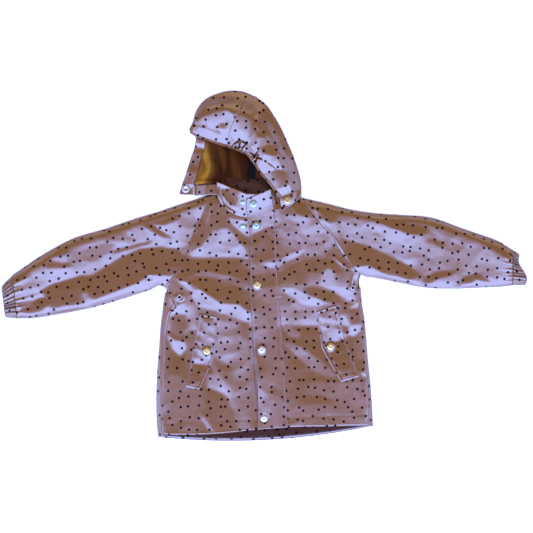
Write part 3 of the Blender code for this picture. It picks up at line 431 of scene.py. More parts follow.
def ripple(x, y, seed, size):
    """Uneven low ripples that run every way, about 1 high, with crests that are sharper than the hollows."""
    draw = np.random.default_rng(seed)
    total = np.zeros(np.shape(x))
    for _ in range(RIPPLE_WAVES):
        turn, phase = draw.uniform(0, 2 * math.pi, 2)
        length = size * draw.uniform(0.7, 1.6)
        total += np.sin(2 * math.pi * (x * math.cos(turn) + y * math.sin(turn)) / length + phase)
    total /= math.sqrt(RIPPLE_WAVES / 2)
    return 1 - np.sqrt(total**2 + 0.12)


# %% [markdown]
# ## Seams pull the cloth
# A lockstitch draws the cloth down into a fine groove and gathers it a little, which leaves short puckers on
# both sides. One table names the long seams, and one function adds groove and puckers to the cloth.

# %% Seams and snaps
Pull = namedtuple("Pull", "path pitch depth reach")
Snap = namedtuple("Snap", "name x y on profile")
HEM_LINE_R = [(-186, -286), (-140, -281), (-90, -279), (-11, -277)]
HEM_LINE_L = [(43, -274), (90, -272), (140, -270), (190, -268)]
PULLS = [
    Pull(RAGLAN_R, 9.0, 0.16, 5.0),
    Pull(RAGLAN_L, 9.5, 0.16, 5.0),
    Pull(HEM_LINE_R, 7.5, 0.35, 6.0),
    Pull(HEM_LINE_L, 8.0, 0.35, 6.0),
    Pull(PLACKET_SEAM, 10.0, 0.25, 5.0),
]
SNAPS = [
    Snap("snap_front_1", -19, 111, "placket", "CAP"),
    Snap("snap_front_2", -14, 72, "placket", "CAP"),
    Snap("snap_front_3", -12, -35, "placket", "CAP"),
    Snap("snap_front_4", -4, -151, "placket", "CAP"),
    Snap("snap_front_5", 0, -275, "placket", "CAP"),
    Snap("snap_flap_r", -103, -154, "flap_r", "CAP"),
    Snap("snap_flap_l", 120, -146, "flap_l", "CAP"),
    Snap("snap_hood_l", 42, 117, "hood_band_l", "CAP"),
    Snap("snap_hood_r", -141, 138, "hood_facing", "SOCKET"),
    Snap("stud_collar", -38, 114, "collar_r", "STUD"),
    Snap("stud_front", -38, 71, "front_r", "STUD"),
    Snap("eyelet_sleeve_r", -207, -26, "sleeve_r", "EYELET"),
    Snap("eyelet_front_r", -152, -57, "front_r", "EYELET"),
    Snap("eyelet_front_l", 160, -40, "front_l", "EYELET"),
]
EYELET_HOLE = 3.3  # radius of the hole in the cloth

# %% [markdown]
# ## One height for the upper cloth
# The fronts and the upper sides of the sleeves lie as one layer, so one function gives its height at any
# place: round at the folded edges, full in the middle, with leans, creases and seams added. What is sewn on
# this cloth asks the same function, so it lies on it.

# %% Height of the upper cloth
def puckers(path, pitch, depth, reach, x, y):
    """A stitched line's groove and the uneven puckers that stand on both sides of it."""
    path = curve(path, 50)
    away, along = distance_along(path, x, y)
    beat = along * length_of(path) / pitch
    turn = 2 * math.pi * beat
    wave = np.sin(turn + 1.4 * np.sin(turn / 3.3)) * (0.6 + 0.4 * np.sin(beat * 1.7))
    return depth * (0.5 * wave * np.exp(-away / reach) - 0.6 * np.exp(-((away / 1.3) ** 2)))


def pulled(x, y):
    return sum(puckers(*pull, x, y) for pull in PULLS)


def snap_rest(x, y):
    """Large folds fade out towards each snap, whose press flattens the cloth."""
    nearest = np.min([np.hypot(x - snap.x, y - snap.y) for snap in SNAPS], axis=0)
    return smooth_step(4.0, 9.0, nearest)


FOLD_EDGES = [
    curve([s.top for s in SLEEVE_R], 40), curve([s.bottom for s in SLEEVE_R], 40), curve(SIDE_FOLD_R, 24),
    curve([s.top for s in SLEEVE_L], 40), curve([s.bottom for s in SLEEVE_L], 40), curve(SIDE_FOLD_L, 24),
]


def fold_distance(x, y):
    return np.min([distance_along(edge, x, y)[0] for edge in FOLD_EDGES], axis=0)


coat_lean = leaning_cloth(COAT_LEANS, (-480, -320), (480, 170))


def cloth_height(x, y):
    """Height of the upper cloth of the body and sleeves above the floor."""
    edge = fold_distance(x, y)
    folds = coat_lean(x, y) + creased(COAT_CREASES, x, y)
    folds += 0.25 * ripple(x, y, 11, 62) + 0.06 * ripple(x, y, 12, 24)
    folds *= smooth_step(0, 6, edge) * snap_rest(x, y)
    return rounded_rim(edge, LOFT + folds + pulled(x, y), RIM)


def on_cloth(points, above=0.0):
    """Places (x, y) lifted onto the upper cloth."""
    x, y = np.moveaxis(np.asarray(points, float), -1, 0)
    return np.stack([x, y, cloth_height(x, y) + above], axis=-1)


# %% [markdown]
# ## From a grid to a piece of cloth
# Each piece is an open grid of points, the face that shows, and a Solidify modifier gives it the thickness
# below. Its UV map is measured along the cloth in metres, so a print keeps its size however the piece folds.
# Pinched folds also carry a number at each point, a painted shade, because their shape alone doesn't make
# them as dark as folds of coated cloth are.

# %% Print maps and eyelet holes
TOPS = {}  # the visible face of each sheet, for what is sewn or set on it
SHEETS = {}  # each sheet by the name of its solid
MATERIALS = {}
made_pieces = []
SHARED_SLOTS = {"painted_shade_cloth": "shell_cloth", "thread": "shell_cloth"}  # finishes with no slot of their own
# Painted shade under eyelets: which layer gets it, and the radius of the dark place.
LOWEST = {"back": 2.6}  # cloth below this height, in mm, is the lowest layer
LOWEST_ELSEWHERE = 1.4
EYELET_SHADE = 9  # radius of the dark place under an eyelet


def unrolled_uv(grid, axis):
    """A tube's print laid flat: v runs along the axis, u measures the way round it from the middle column."""
    axis = np.array(axis, float) / np.linalg.norm(axis)
    ring = np.concatenate([grid, grid[:, :1]], axis=1)
    sideways = ring[..., :2] @ [-axis[1], axis[0]]
    u = np.hypot(np.diff(sideways, axis=1), np.diff(ring[..., 2], axis=1))
    u = np.concatenate([np.zeros((len(ring), 1)), np.cumsum(u, axis=1)], axis=1)
    middle = ring.shape[1] // 2
    u = u - u[:, middle:middle + 1]
    u *= np.sign(sideways[0, middle + 1] - sideways[0, middle - 1])
    return np.stack([u + sideways[:, middle:middle + 1], ring[..., :2] @ axis], axis=2)


def measured_uv(grid, closed):
    """Lengths along the cloth, in mm: across from the middle column, and down that column."""
    ring = np.concatenate([grid, grid[:, :1]], axis=1) if closed else grid
    across = np.linalg.norm(np.diff(ring, axis=1), axis=2)
    u = np.concatenate([np.zeros((len(ring), 1)), np.cumsum(across, axis=1)], axis=1)
    middle = ring.shape[1] // 2
    u -= u[:, middle:middle + 1]
    down = np.linalg.norm(np.diff(ring[:, middle], axis=0), axis=1)
    v = np.concatenate([[0], np.cumsum(down)])
    return np.stack([u, np.broadcast_to(v[:, None], u.shape)], axis=2)


def punch(grid, x, y):
    """Opens a round hole for an eyelet: one point goes, and the eight beside it move to a ring."""
    away = np.hypot(grid[..., 0] - x, grid[..., 1] - y) + np.where(grid[..., 2] < 4, 1000, 0)
    row, column = np.unravel_index(np.nanargmin(away), away.shape)
    for r in (row - 1, row, row + 1):
        for c in (column - 1, column, column + 1):
            out = grid[r, c, :2] - [x, y]
            grid[r, c, :2] = [x, y] + out / np.linalg.norm(out) * EYELET_HOLE
    grid[row, column] = np.nan

# %% [markdown]
# ## The piece itself
# A small list of faces joins the points, row by row, and leaves out the ones with no cloth. Every piece rides
# on the coat's one body and stands for its solid.

# %% The cloth builder
def valleys(grid, reach, depth):
    """How deep each point lies between the pleats beside it in its row: 0 on a ridge, 1 at this depth."""
    z = grid[..., 2]
    before = np.max([np.roll(z, k, axis=1) for k in range(reach + 1)], axis=0)
    after = np.max([np.roll(z, -k, axis=1) for k in range(reach + 1)], axis=0)
    return np.clip((np.minimum(before, after) - z) / depth, 0, 1)


def cloth(name, grid, finish, thick=CLOTH, closed=False, uv=None, shift=(0.0, 0.0), shade=None):
    """A piece of cloth from its visible face: a grid of points, rows by columns, NaN where there is none.
    closed joins the last column to the first, as in a tube, and shift moves its print. shade, from 0 to 1 at
    each point, is painted shade for the material: how deep the point lies in a pinched fold."""
    if uv is None:
        uv = measured_uv(grid, closed)
    for snap in SNAPS:
        if snap.on == name and snap.profile == "EYELET":
            punch(grid, snap.x, snap.y)
    rows, columns = grid.shape[:2]
    there = ~np.isnan(grid[..., 0])
    shade = np.zeros((rows, columns)) if shade is None else shade
    # Painted shade: the lowest layer is darkened where it shows through an eyelet.
    for snap in SNAPS:
        if snap.profile == "EYELET":  # the lowest layer is dark where it shows through an eyelet
            away = np.hypot(grid[..., 0] - snap.x, grid[..., 1] - snap.y)
            low = grid[..., 2] < LOWEST.get(name, LOWEST_ELSEWHERE)
            shade = np.where(low, np.maximum(shade, np.exp(-((away / EYELET_SHADE) ** 4))), shade)
    number = np.cumsum(there.ravel()).reshape(there.shape) - 1
    uv = (uv + np.array(shift)) * MM
    faces, prints = [], []
    for r in range(rows - 1):
        for c in range(columns if closed else columns - 1):
            n = (c + 1) % columns
            corners = [(r, c), (r, n), (r + 1, n), (r + 1, c)]
            if all(there[k] for k in corners):
                faces.append([int(number[k]) for k in corners])
                prints += [uv[r, c], uv[r, c + 1], uv[r + 1, c + 1], uv[r + 1, c]]
    points = grid[there]
    mesh = bpy.data.meshes.new(name)
    mesh.from_pydata(points * MM, [], faces)
    mesh.shade_smooth()
    layer = mesh.uv_layers.new(name="print")
    layer.data.foreach_set("uv", np.array(prints, np.float32).ravel())
    # The painted shade amount goes to the material, which darkens the colour and dulls the coat there.
    mesh.attributes.new("painted_shade_amount", "FLOAT", "POINT").data.foreach_set("value", shade[there])
    made = SHEETS[name] = bpy.data.objects.new(name + "_cloth", mesh)
    COAT.objects.link(made)
    solid = made.modifiers.new("thickness", "SOLIDIFY")
    solid.thickness = thick * MM
    solid.offset = -1
    TOPS[name] = BVHTree.FromPolygons([Vector(p) for p in points], faces)
    settle(made, finish, [name])
    area = sum(p.area for p in mesh.polygons)
    print(f"{name}: {len(faces)} faces, {area * 1e4:.0f} cm2 of cloth")
    return made


def settle(made, finish, nodes):
    """Every piece moves with the coat, hides the solids it stands for, and is listed with its finish."""
    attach(made, "root")
    if nodes:
        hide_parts(*nodes)
    SHARED_SLOTS.get(finish, finish)
    made_pieces.append((made, finish))
    return made


def drop_on(name, x, y):
    """Height of a sheet's visible face at a place, 0 where there is none."""
    hit = TOPS[name].ray_cast(Vector((x, y, 200)), Vector((0, 0, -1)))[0]
    return hit.z if hit else 0.0


# %% [markdown]
# ## The fronts
# Each front runs from its side seam to the closing, from the hem up to the armhole and neck seams. Both are
# one grid of rows, and the sleeve shares the points of its armhole, so the two meet without a gap.

# %% Lines that run down the body
LOWER_CELLS = 112  # from the hem to the underarm
ARMHOLE_CELLS = 96  # along an armhole seam
FRONT_CELLS = 68  # from the side to the placket
UNDER_PLACKET = 8


def across_tube(length):
    """Shares of the way across a flattened tube, closer together near its two folded edges."""
    t = np.linspace(0, 1, ARMHOLE_CELLS + 1)
    inset = RIM_START / length
    return inset + (1 - 2 * inset) * mix(t, 0.5 - 0.5 * np.cos(math.pi * t), 0.55)


def armhole(raglan):
    """The points shared by the two pieces on either side of an armhole seam, from the neck down."""
    path = curve(raglan, 200)
    at = across_tube(np.linalg.norm(path[-1] - path[0]))
    return np.stack([np.interp(at, np.linspace(0, 1, 200), path[:, k]) for k in (0, 1)], axis=1)


def body_columns():
    """The body's lines, row by row: right side, placket's free edge, centre, placket's seam, left side."""
    sides = []
    for side, raglan, gap in (("right", RAGLAN_R, SEAM), ("left", RAGLAN_L, -SEAM)):
        lower = resample([getattr(row, side) for row in SIDE_ROWS], LOWER_CELLS)
        sides.append(np.vstack([lower, armhole(raglan)[::-1] + [gap, 0]]))
    middles = []
    for line, rows, upper in ((PLACKET_EDGE, "edge_y", UPPER_EDGE_Y), (PLACKET_SEAM, "seam_y", UPPER_SEAM_Y)):
        lower = resample([getattr(row, rows) for row in SIDE_ROWS], LOWER_CELLS)
        y = np.append(lower, resample(upper, ARMHOLE_CELLS))
        middles.append(np.column_stack([line_x(line, y), y]))
    edge, seam = middles
    return sides[0], edge, (edge + seam) / 2, seam, sides[1]


def bowed(start, end, columns, hem_sag, neck):
    """Rows from one side to the placket, sagging to the hem's curve below and rising to the neck's."""
    rows = len(start)
    t = np.array(columns)[None, :, None]
    grid = start[:, None] * (1 - t) + end[:, None] * t
    row = np.linspace(0, 1, rows)[:, None]
    u = t[0, :, 0][None]
    grid[..., 1] += hem_sag * 4 * u * (1 - u) * np.clip(1 - row / 0.35, 0, 1) ** 2
    path = curve(neck, 60)
    on_neck = np.stack([np.interp(u[0], np.linspace(0, 1, 60), path[:, k]) for k in (0, 1)], axis=1)
    bend = on_neck - (path[0] * (1 - t[0]) + path[-1] * t[0])
    grid += bend[None] * (np.clip((row - 0.72) / 0.28, 0, 1) ** 2)[..., None]
    return grid


RIGHT, EDGE, CENTRE, SEAM_LINE, LEFT = body_columns()
print("body rows:", len(RIGHT))

# %% [markdown]
# ## Cutting the fronts
# Both fronts run on for half the placket's width under it, where they meet. The hem is folded under, so its
# row of points rounds down.

# %% The two fronts
HEM_TURN = 1.3  # the hem's folded edge rounds down by this much
across_front = np.linspace(0, 1, FRONT_CELLS + 1)
tuck = np.linspace(0, 1, UNDER_PLACKET + 1)[None, 1:, None]
gap = np.array([SEAM / 2, 0])

flat_r = bowed(RIGHT, EDGE, across_front, FRONT_HEM_SAG, NECK_R)
flat_r = np.concatenate([flat_r, EDGE[:, None] * (1 - tuck) + (CENTRE - gap)[:, None] * tuck], axis=1)
top = on_cloth(flat_r)
top[0, :, 2] -= HEM_TURN
cloth("front_r", top, "shell_cloth", uv=flat_r)

flat_l = bowed(SEAM_LINE, LEFT, across_front, 0.0, NECK_L)
under = (CENTRE + gap)[:, None] * tuck[:, ::-1] + SEAM_LINE[:, None] * (1 - tuck[:, ::-1])
flat_l = np.concatenate([under, flat_l], axis=1)
top = on_cloth(flat_l)
top[0, :, 2] -= HEM_TURN
cloth("front_l", top, "shell_cloth", uv=flat_l)

# %% [markdown]
# ## The placket
# A double strip of the same cloth covers the closing from the hem to the top of the collar. It is sewn down
# on the wearer's left and only snapped on the right, so between two snaps its free edge lifts a little.

# %% The placket
PLACKET_CELLS = 30
COLLAR_ROWS = 16
PLACKET_CLIMB = 3.0  # how much it climbs over the standing collar
EdgeLift = namedtuple("EdgeLift", "y long height")
PLACKET_LIFTS = [EdgeLift(-205, 52, 4.6), EdgeLift(-92, 44, 1.6), EdgeLift(20, 44, 1.4)]
COLLAR_LEANS = [
    Lean(0.3, [(-95, 80), (-95, 160), (80, 160), (80, 80)]),
    Lean(-1.2, [(-84, 130), (-84, 165), (30, 165), (20, 130), (-60, 126)]),
    Lean(1.0, [(-81, 153), (-61, 156), (-59, 140), (-76, 137)]),
    Lean(-1.1, [(-74, 130), (-50, 136), (-45, 120), (-52, 105), (-66, 112)]),
    Lean(1.0, [(-45, 132), (20, 142), (22, 92), (-31, 84), (-45, 90)]),
    Lean(1.1, [(-89, 134), (-80, 134), (-70, 108), (-50, 94), (-62, 92), (-80, 108)]),
    Lean(-1.1, [(14, 145), (34, 145), (38, 100), (20, 96)]),
]
COLLAR_CREASES = [
    Crease([(-86, 136), (-81, 117), (-71, 104), (-54, 94)], 4.0, 2.4),
    Crease([(-79, 136), (-73, 117), (-62, 105), (-47, 97)], 3.0, -1.8),
]
collar_lean = leaning_cloth(COLLAR_LEANS, (-100, 80), (80, 170))


def turned_edge(away):
    """What a folded, stitched edge adds to cloth: it rounds down, with a low ridge inside the stitching."""
    return 0.5 * np.exp(-(((away - 2.0) / 1.5) ** 2)) - 1.1 * np.exp(-((away / 0.8) ** 2))


def placket_lines():
    """The placket's free edge and seam, from the hem to the top of the collar."""
    above_edge = resample(COLLAR_EDGE_Y, COLLAR_ROWS)[:, 0]
    above_seam = resample(COLLAR_SEAM_Y, COLLAR_ROWS)[:, 0]
    edge = np.vstack([EDGE, np.column_stack([line_x(PLACKET_EDGE, above_edge), above_edge])])
    seam = np.vstack([SEAM_LINE, np.column_stack([line_x(PLACKET_SEAM, above_seam), above_seam])])
    return edge, seam


placket_edge, placket_seam = placket_lines()
t = np.linspace(0, 1, PLACKET_CELLS + 1)
t = mix(t, t**2, 0.6)[None, :, None]
flat = placket_edge[:, None] * (1 - t) + placket_seam[:, None] * t
grid = on_cloth(flat)
across = t[..., 0] * np.linalg.norm(placket_seam - placket_edge, axis=1)[:, None]
grid[..., 2] += mix(2.1, 1.0, smooth_step(0.5, 1.0, t[..., 0])) + turned_edge(across)
grid[..., 2] -= 0.4 * np.exp(-(((across[:, -1:] - across - 4.2) / 1.2) ** 2))
body_rows = len(EDGE)
climb = np.linspace(0, 1, COLLAR_ROWS + 1) * PLACKET_CLIMB
foot = flat[body_rows - 1]
grid[body_rows:, :, 2] = grid[body_rows - 1, :, 2] + climb[:, None] - collar_lean(*foot.T)
grid[body_rows:, :, 2] += collar_lean(*np.moveaxis(flat[body_rows:], -1, 0))
for lift in PLACKET_LIFTS:
    swell = np.exp(-(((flat[..., 1] - lift.y) / lift.long) ** 2) * 2)
    grid[..., 2] += lift.height * swell * (1 - t[..., 0]) ** 2
cloth("placket", grid, "shell_cloth", thick=0.85, uv=flat, shift=(7, 11))

# %% [markdown]
# ## The collar
# The collar is cut in three: two halves in front that run under the placket, and the half behind the neck,
# which shows through the open neck. Each is a row of short curves that start on the neck seam and stand up.

# %% The collar
COLLAR_TOP_R = [(-85, 150), (-76, 147), (-59, 140), (-44, 134), (-32, 129)]
COLLAR_TOP_L = [(13, 137), (30, 140), (50, 136)]
BACK_COLLAR_TOP = [(-80, 148), (-74, 155), (-62, 159), (-31, 160), (0, 158), (14, 152)]
BACK_COLLAR_FOOT = [(-82, 127), (-40, 124), (-10, 123), (16, 123)]
COLLAR_CELLS = 24


def collar_column(foot, top, stand, profile):
    """Points up one line of the collar, from the neck seam to its top edge. profile is a list of (share of
    the way, share of the stand) that says how the line climbs."""
    t = np.linspace(0, 1, COLLAR_CELLS + 1)
    climb = curve(profile, 60)
    flat = mix(foot, top, t[:, None])
    height = float(cloth_height(*foot)) + stand * np.interp(t, climb[:, 0], climb[:, 1])
    height = height + creased(COLLAR_CREASES, *flat.T)
    return np.column_stack([flat, height + collar_lean(*flat.T) - collar_lean(*foot)])


def collar_half(feet, tops, stands, profiles, count):
    """A run of collar columns between the given ones, whose profile changes evenly along the run."""
    feet, tops = curve(feet, count), curve(tops, count)
    share = np.linspace(0, 1, count)
    stands = np.interp(share, np.linspace(0, 1, len(stands)), stands)
    first, final = (np.array(p, float) for p in profiles)
    return [collar_column(foot, top, stand, mix(first, final, k))
            for foot, top, stand, k in zip(feet, tops, stands, share)]


STRAIGHT = [(0, 0), (0.25, 0.25), (0.5, 0.5), (0.75, 0.75), (1, 1)]
ROLLED = [(0, 0), (0.22, 0.75), (0.5, 0.62), (0.75, 0.7), (1, 1)]
SUNK = [(0, 0), (0.25, -0.7), (0.5, -1.2), (0.75, -1.1), (1, -0.6)]
RIDGED = [(0, 0.8), (0.3, 0.66), (0.45, 0.62), (0.7, 0.34), (1, 0.1)]
up = np.array([0, SEAM])
top_edge, top_seam = placket_edge[-1], placket_seam[-1]
right = collar_half(np.array(NECK_R[1:]) + up, COLLAR_TOP_R, [6, 3], [ROLLED, STRAIGHT], 36)[:-3]
top_centre = (top_edge + top_seam) / 2
right += collar_half([EDGE[-1] + up, CENTRE[-1] + up - gap], [COLLAR_TOP_R[-1], top_centre - gap],
                     [3.6, 3], [STRAIGHT, STRAIGHT], 6)
cloth("collar_r", np.stack(right, axis=1), "shell_cloth", shift=(4, 3))

left = collar_half([CENTRE[-1] + up + gap, SEAM_LINE[-1] + up], [top_centre + gap, top_seam],
                   [3, 3], [STRAIGHT, STRAIGHT], 6)
left += collar_half(np.array(NECK_L) + up, COLLAR_TOP_L, [3.5, 3.5], [SUNK, SUNK], 16)[2:-4]
cloth("collar_l", np.stack(left, axis=1), "shell_cloth", shift=(9, 5))

back = np.stack(collar_half(BACK_COLLAR_FOOT, BACK_COLLAR_TOP, [11.5], [RIDGED, RIDGED], 60), axis=1)
back[..., 2] += 2 * WALL + LAY - np.array([[float(cloth_height(*p)) for p in curve(BACK_COLLAR_FOOT, 60)]])
# Painted shade: the back collar, in the shade of the neck, takes a darker, duller copy of the cloth.
cloth("collar_back", back, "painted_shade_cloth", shift=(2, 8))

# %% [markdown]
# ## The back
# The back is one flat piece that wraps round both side folds onto the front, where the side seams lie. Its
# underside rests on the floor, with low soft lifts where it does not quite touch.

# %% The back and its hem
WRAP_TURNS = np.radians((0, 22, 45, 67, 90))  # the lower quarter of a fold, from its outermost line down
WRAP_SHARES = (0, 0.25, 0.45, 0.6, 0.72, 0.82, 0.9, 0.96, 1)
BACK_CELLS = 60
BACK_HEM_SAG = -15.0  # the hem dips at the back
BACK_HEM_DROP_R = -6.0
BACK_HEM_DROP_L = -2.0
HEM_PUCKERS = 34
MOST_LIFT = 1.3


def floor_lift(x, y):
    """How far cloth that lies on the floor lifts off it in soft patches."""
    return MOST_LIFT * np.clip(0.5 * ripple(x, y, 21, 90) + 0.1, 0, 1)


def wrapped_side(fold, seam, drop, inward):
    """The back where it wraps round a side fold, from the side seam on top to the flat underside.
    inward is +1 where the body lies towards +X, and drop lengthens the back at the hem."""
    y = seam[:, 1] + drop * np.clip(1 - np.arange(len(seam)) / 9, 0, 1)
    x = line_x(fold, y)
    seam_edge = seam - [inward * SEAM, 0]
    fold_top = np.column_stack([x + inward * RIM_START, y])
    columns = [on_cloth(mix(seam_edge, fold_top, t)) for t in WRAP_SHARES]
    for turn in WRAP_TURNS:
        away, height = FOLD_RADIUS * (1 - math.cos(turn)), FOLD_RADIUS * (1 - math.sin(turn))
        columns.append(np.column_stack([x + inward * away, y, np.full(len(y), height)]))
    return np.stack(columns, axis=1)


def armhole_end(sleeve, inward, share):
    """A place on the back's armhole seam, that share of the way from the underarm to the neck."""
    bottom, top = np.array(sleeve[-1].bottom, float), np.array(sleeve[-1].top, float)
    along = (top - bottom) / np.linalg.norm(top - bottom)
    clear = along * FOLD_RADIUS * 1.5
    return mix(bottom + clear, top - clear, share) + [inward * 2 * SEAM, 0]


rows = LOWER_CELLS // 2 + 1
t = np.linspace(0, 1, BACK_CELLS + 1)
inner = t[None, 1:-1, None]
right_wrap = wrapped_side(SIDE_FOLD_R, RIGHT[:LOWER_CELLS + 1:2], BACK_HEM_DROP_R, 1)
left_wrap = wrapped_side(SIDE_FOLD_L, LEFT[:LOWER_CELLS + 1:2], BACK_HEM_DROP_L, -1)[:, ::-1]
floor_part = right_wrap[:, -1:] * (1 - inner) + left_wrap[:, :1] * inner
fade = np.clip(1 - np.arange(rows) / 18, 0, 1)[:, None]
floor_part[..., 1] += BACK_HEM_SAG * 4 * inner[..., 0] * (1 - inner[..., 0]) * fade
floor_part[..., 2] += floor_lift(floor_part[..., 0], floor_part[..., 1]) * np.sin(np.pi * inner[..., 0])
lower = np.concatenate([right_wrap, floor_part, left_wrap], axis=1)

upper = np.full((24, lower.shape[1], 3), np.nan)
first = len(WRAP_TURNS) + len(WRAP_SHARES) - 1
for row, share in zip(upper, np.linspace(0.02, 1, len(upper))):
    r_end, l_end = armhole_end(SLEEVE_R, 1, share), armhole_end(SLEEVE_L, -1, share)
    place = mix(r_end, l_end, t[:, None])
    row[first:first + BACK_CELLS + 1, :2] = place
    row[first:first + BACK_CELLS + 1, 2] = floor_lift(place[:, 0], place[:, 1]) * np.sin(np.pi * t)
whole = np.concatenate([lower, upper])[:, ::-1]
filled = np.nan_to_num(whole)
uv = measured_uv(filled, False)
uv[..., 1] = filled[..., 1]
cloth("back", whole, "shell_cloth", uv=uv)

u = np.linspace(0, 1, HEM_PUCKERS * 8 + 1)
low = mix((-186, -306), (191, -287.5), u[:, None])
low[:, 1] += (BACK_HEM_SAG + 1.5) * 4 * u * (1 - u)
beat = HEM_PUCKERS * u + 0.25 * np.sin(2 * math.pi * 7.3 * u)
pucker = 1.3 * (0.75 - 0.25 * np.sin(2 * math.pi * 5.3 * u)) * 0.5 * (1 - np.cos(2 * math.pi * beat))
down = np.linspace(0, 1, 11)
grid = np.zeros((len(down), len(u), 3))
for k, d in enumerate(down):
    grid[k, :, :2] = low + [0, 24 * d]
    grid[k, :, 2] = 2 * WALL + LAY - 0.4 + 2.6 * (1 - d) + pucker * (1 - 0.5 * d)
# Painted shade: the back's hem, in the shade under the front hem, takes the darker, duller copy of the cloth.
cloth("back_hem", grid, "painted_shade_cloth", shift=(3, 6))

# %% [markdown]
# ## Sleeves and cuffs
# A sleeve lies as a flattened tube: over the top, round the lower fold, along the floor and back round the
# upper fold. Rings of points along it make the tube. At the cuff the elastic gathers the cloth, so each ring
# near it carries uneven waves that die out up the sleeve, some sooner than others.

# %% Sleeves
SLEEVE_CELLS = 150
UNDER_CELLS = 24
CUFF_GATHERS = 11


def tube_ring(over, under, across):
    """A closed ring for a flattened tube: over its top, round a fold, along the floor, round the other.
    over is the line of points across the top, and across is the direction it runs in."""
    out = (RIM_START - FOLD_RADIUS * (1 - np.cos(WRAP_TURNS[:-1])))[:, None] * across
    down = FOLD_RADIUS * (1 - np.sin(WRAP_TURNS[:-1]))
    first_fold = np.column_stack([over[-1, :2] + out, down])
    last_fold = np.column_stack([over[0, :2] - out, down])[::-1]
    ring = np.vstack([over, first_fold, under, last_fold])
    return np.roll(ring, len(last_fold) + len(under) // 2, axis=0)


def gather_wave(f, away, seed, count, longest):
    """Gathers along an elastic: f runs from 0 to 1 along it, away is the distance in mm from it, and the
    longest of them reach that far."""
    draw = np.random.default_rng(seed)
    knots = np.linspace(0, 1, count + 1)
    shift = np.interp(f, knots, draw.uniform(-0.22, 0.22, count + 1))
    height = np.interp(f, knots, draw.uniform(0.45, 1.0, count + 1))
    reach = np.interp(f, knots, draw.uniform(0.3, 1.0, count + 1)) * longest
    crest = (0.5 - 0.5 * np.cos(2 * math.pi * (count * f + shift))) ** 1.5
    return height * crest * np.exp(-away / reach)


def sleeve_ring(top, bottom, path, blend, away, seed, longest):
    """One ring of a sleeve. blend bends its upper cloth towards the armhole seam."""
    length = np.linalg.norm(bottom - top)
    across = (bottom - top) / length
    inset = FOLD_RADIUS / length
    f = across_tube(length)
    line = top + across * (f * length)[:, None]
    chord = np.array(path[0]) + (np.array(path[-1]) - path[0]) * f[:, None]
    over = on_cloth(line + blend * (armhole(path) - chord))
    gathers = 1.5 * gather_wave(f, away, seed, CUFF_GATHERS, 9)
    gathers += 1.8 * gather_wave(f, away, seed + 9, 6, longest)
    over[:, 2] += gathers * smooth_step(0, 5, np.minimum(f, 1 - f) * length)
    u = np.linspace(1 - inset, inset, UNDER_CELLS + 1)
    under = top + across * (u * length)[:, None]
    lift = floor_lift(under[:, 0], under[:, 1]) * np.sin(np.pi * u)
    return tube_ring(over, np.column_stack([under, lift]), across)


def make_sleeve(name, stations, raglan, gap, seed, longest):
    """A tube from the cuff seam to the armhole, gathered where it is sewn to the cuff."""
    tops = resample([s.top for s in stations], SLEEVE_CELLS)
    bottoms = resample([s.bottom for s in stations], SLEEVE_CELLS)
    middles = (tops + bottoms) / 2
    rings = []
    for i, (top, bottom) in enumerate(zip(tops, bottoms)):
        blend = smooth_step(0.45, 1.0, i / SLEEVE_CELLS)
        away = np.linalg.norm(middles[i] - middles[0])
        rings.append(sleeve_ring(top, bottom, raglan, blend, away, seed, longest))
    rings = np.array(rings)
    rings[-1, :, 0] -= gap
    rings = rings if gap > 0 else rings[:, ::-1]
    return cloth(name, rings, "shell_cloth", closed=True, uv=unrolled_uv(rings, middles[-4] - middles[0]))


make_sleeve("sleeve_r", SLEEVE_R, RAGLAN_R, SEAM, 31, 26)
make_sleeve("sleeve_l", SLEEVE_L, RAGLAN_L, -SEAM, 32, 9)

# %% [markdown]
# ## Cuffs
# A cuff is a casing of the same cloth over elastic. Its gathers keep their height from seam to end, and the
# valleys between them are darkened with painted shade.

# %% Cuffs
CUFF_RINGS = 12
CUFF_LOFT = 4.4
GATHER_CELLS = 14


def cuff_ring(top, bottom, t, swing, seed):
    """One ring of the elastic casing, at the share t of its way from the cuff seam to the free end."""
    length = np.linalg.norm(bottom - top)
    across = (bottom - top) / length
    inset = FOLD_RADIUS / length

    def place(f):
        return top + across * (f * length)[:, None] - np.outer(np.sin(2 * math.pi * f), [swing, 0])

    f = np.linspace(RIM_START / length, 1 - RIM_START / length, CUFF_GATHERS * GATHER_CELLS + 1)
    height = 2 * FOLD_RADIUS + CUFF_LOFT
    height += 1.7 * gather_wave(f, 0, seed, CUFF_GATHERS, 12) + 0.4 * gather_wave(f, 0, seed + 3, 23, 12)
    height -= 0.5 * math.exp(-((t / 0.12) ** 2))
    height = rounded_rim(np.minimum(f, 1 - f) * length, height, RIM / 2)
    u = np.linspace(1 - inset, inset, 20)
    waves = 0.5 * gather_wave(u, 0, seed + 5, CUFF_GATHERS, 12)
    under = np.column_stack([place(u), waves * np.sin(math.pi * u)])
    return tube_ring(np.column_stack([place(f), height]), under, across)


def make_cuff(name, seam, end, gap, swing, seed):
    """The elastic casing: a short tube with its cloth drawn up in uneven gathers."""
    rings = []
    for t in np.linspace(0, 1, CUFF_RINGS):
        top, bottom = mix(seam.top, end.top, t), mix(seam.bottom, end.bottom, t)
        rings.append(cuff_ring(top, bottom, t, swing * t, seed) - [gap * (1 - t), 0, 0])
    rings = np.array(rings[::-1] if gap > 0 else rings)
    # Painted shade in the valleys between the gathers.
    painted_valley_shade = valleys(rings, GATHER_CELLS, 1.5) ** 1.5
    return cloth(name, rings, "shell_cloth", closed=True, shift=(1, seed), shade=painted_valley_shade)


make_cuff("cuff_r", SLEEVE_R[0], CUFF_END_R, 0.15, 0, 31)
make_cuff("cuff_l", SLEEVE_L[0], CUFF_END_L, -0.15, CUFF_SWING_L, 32)

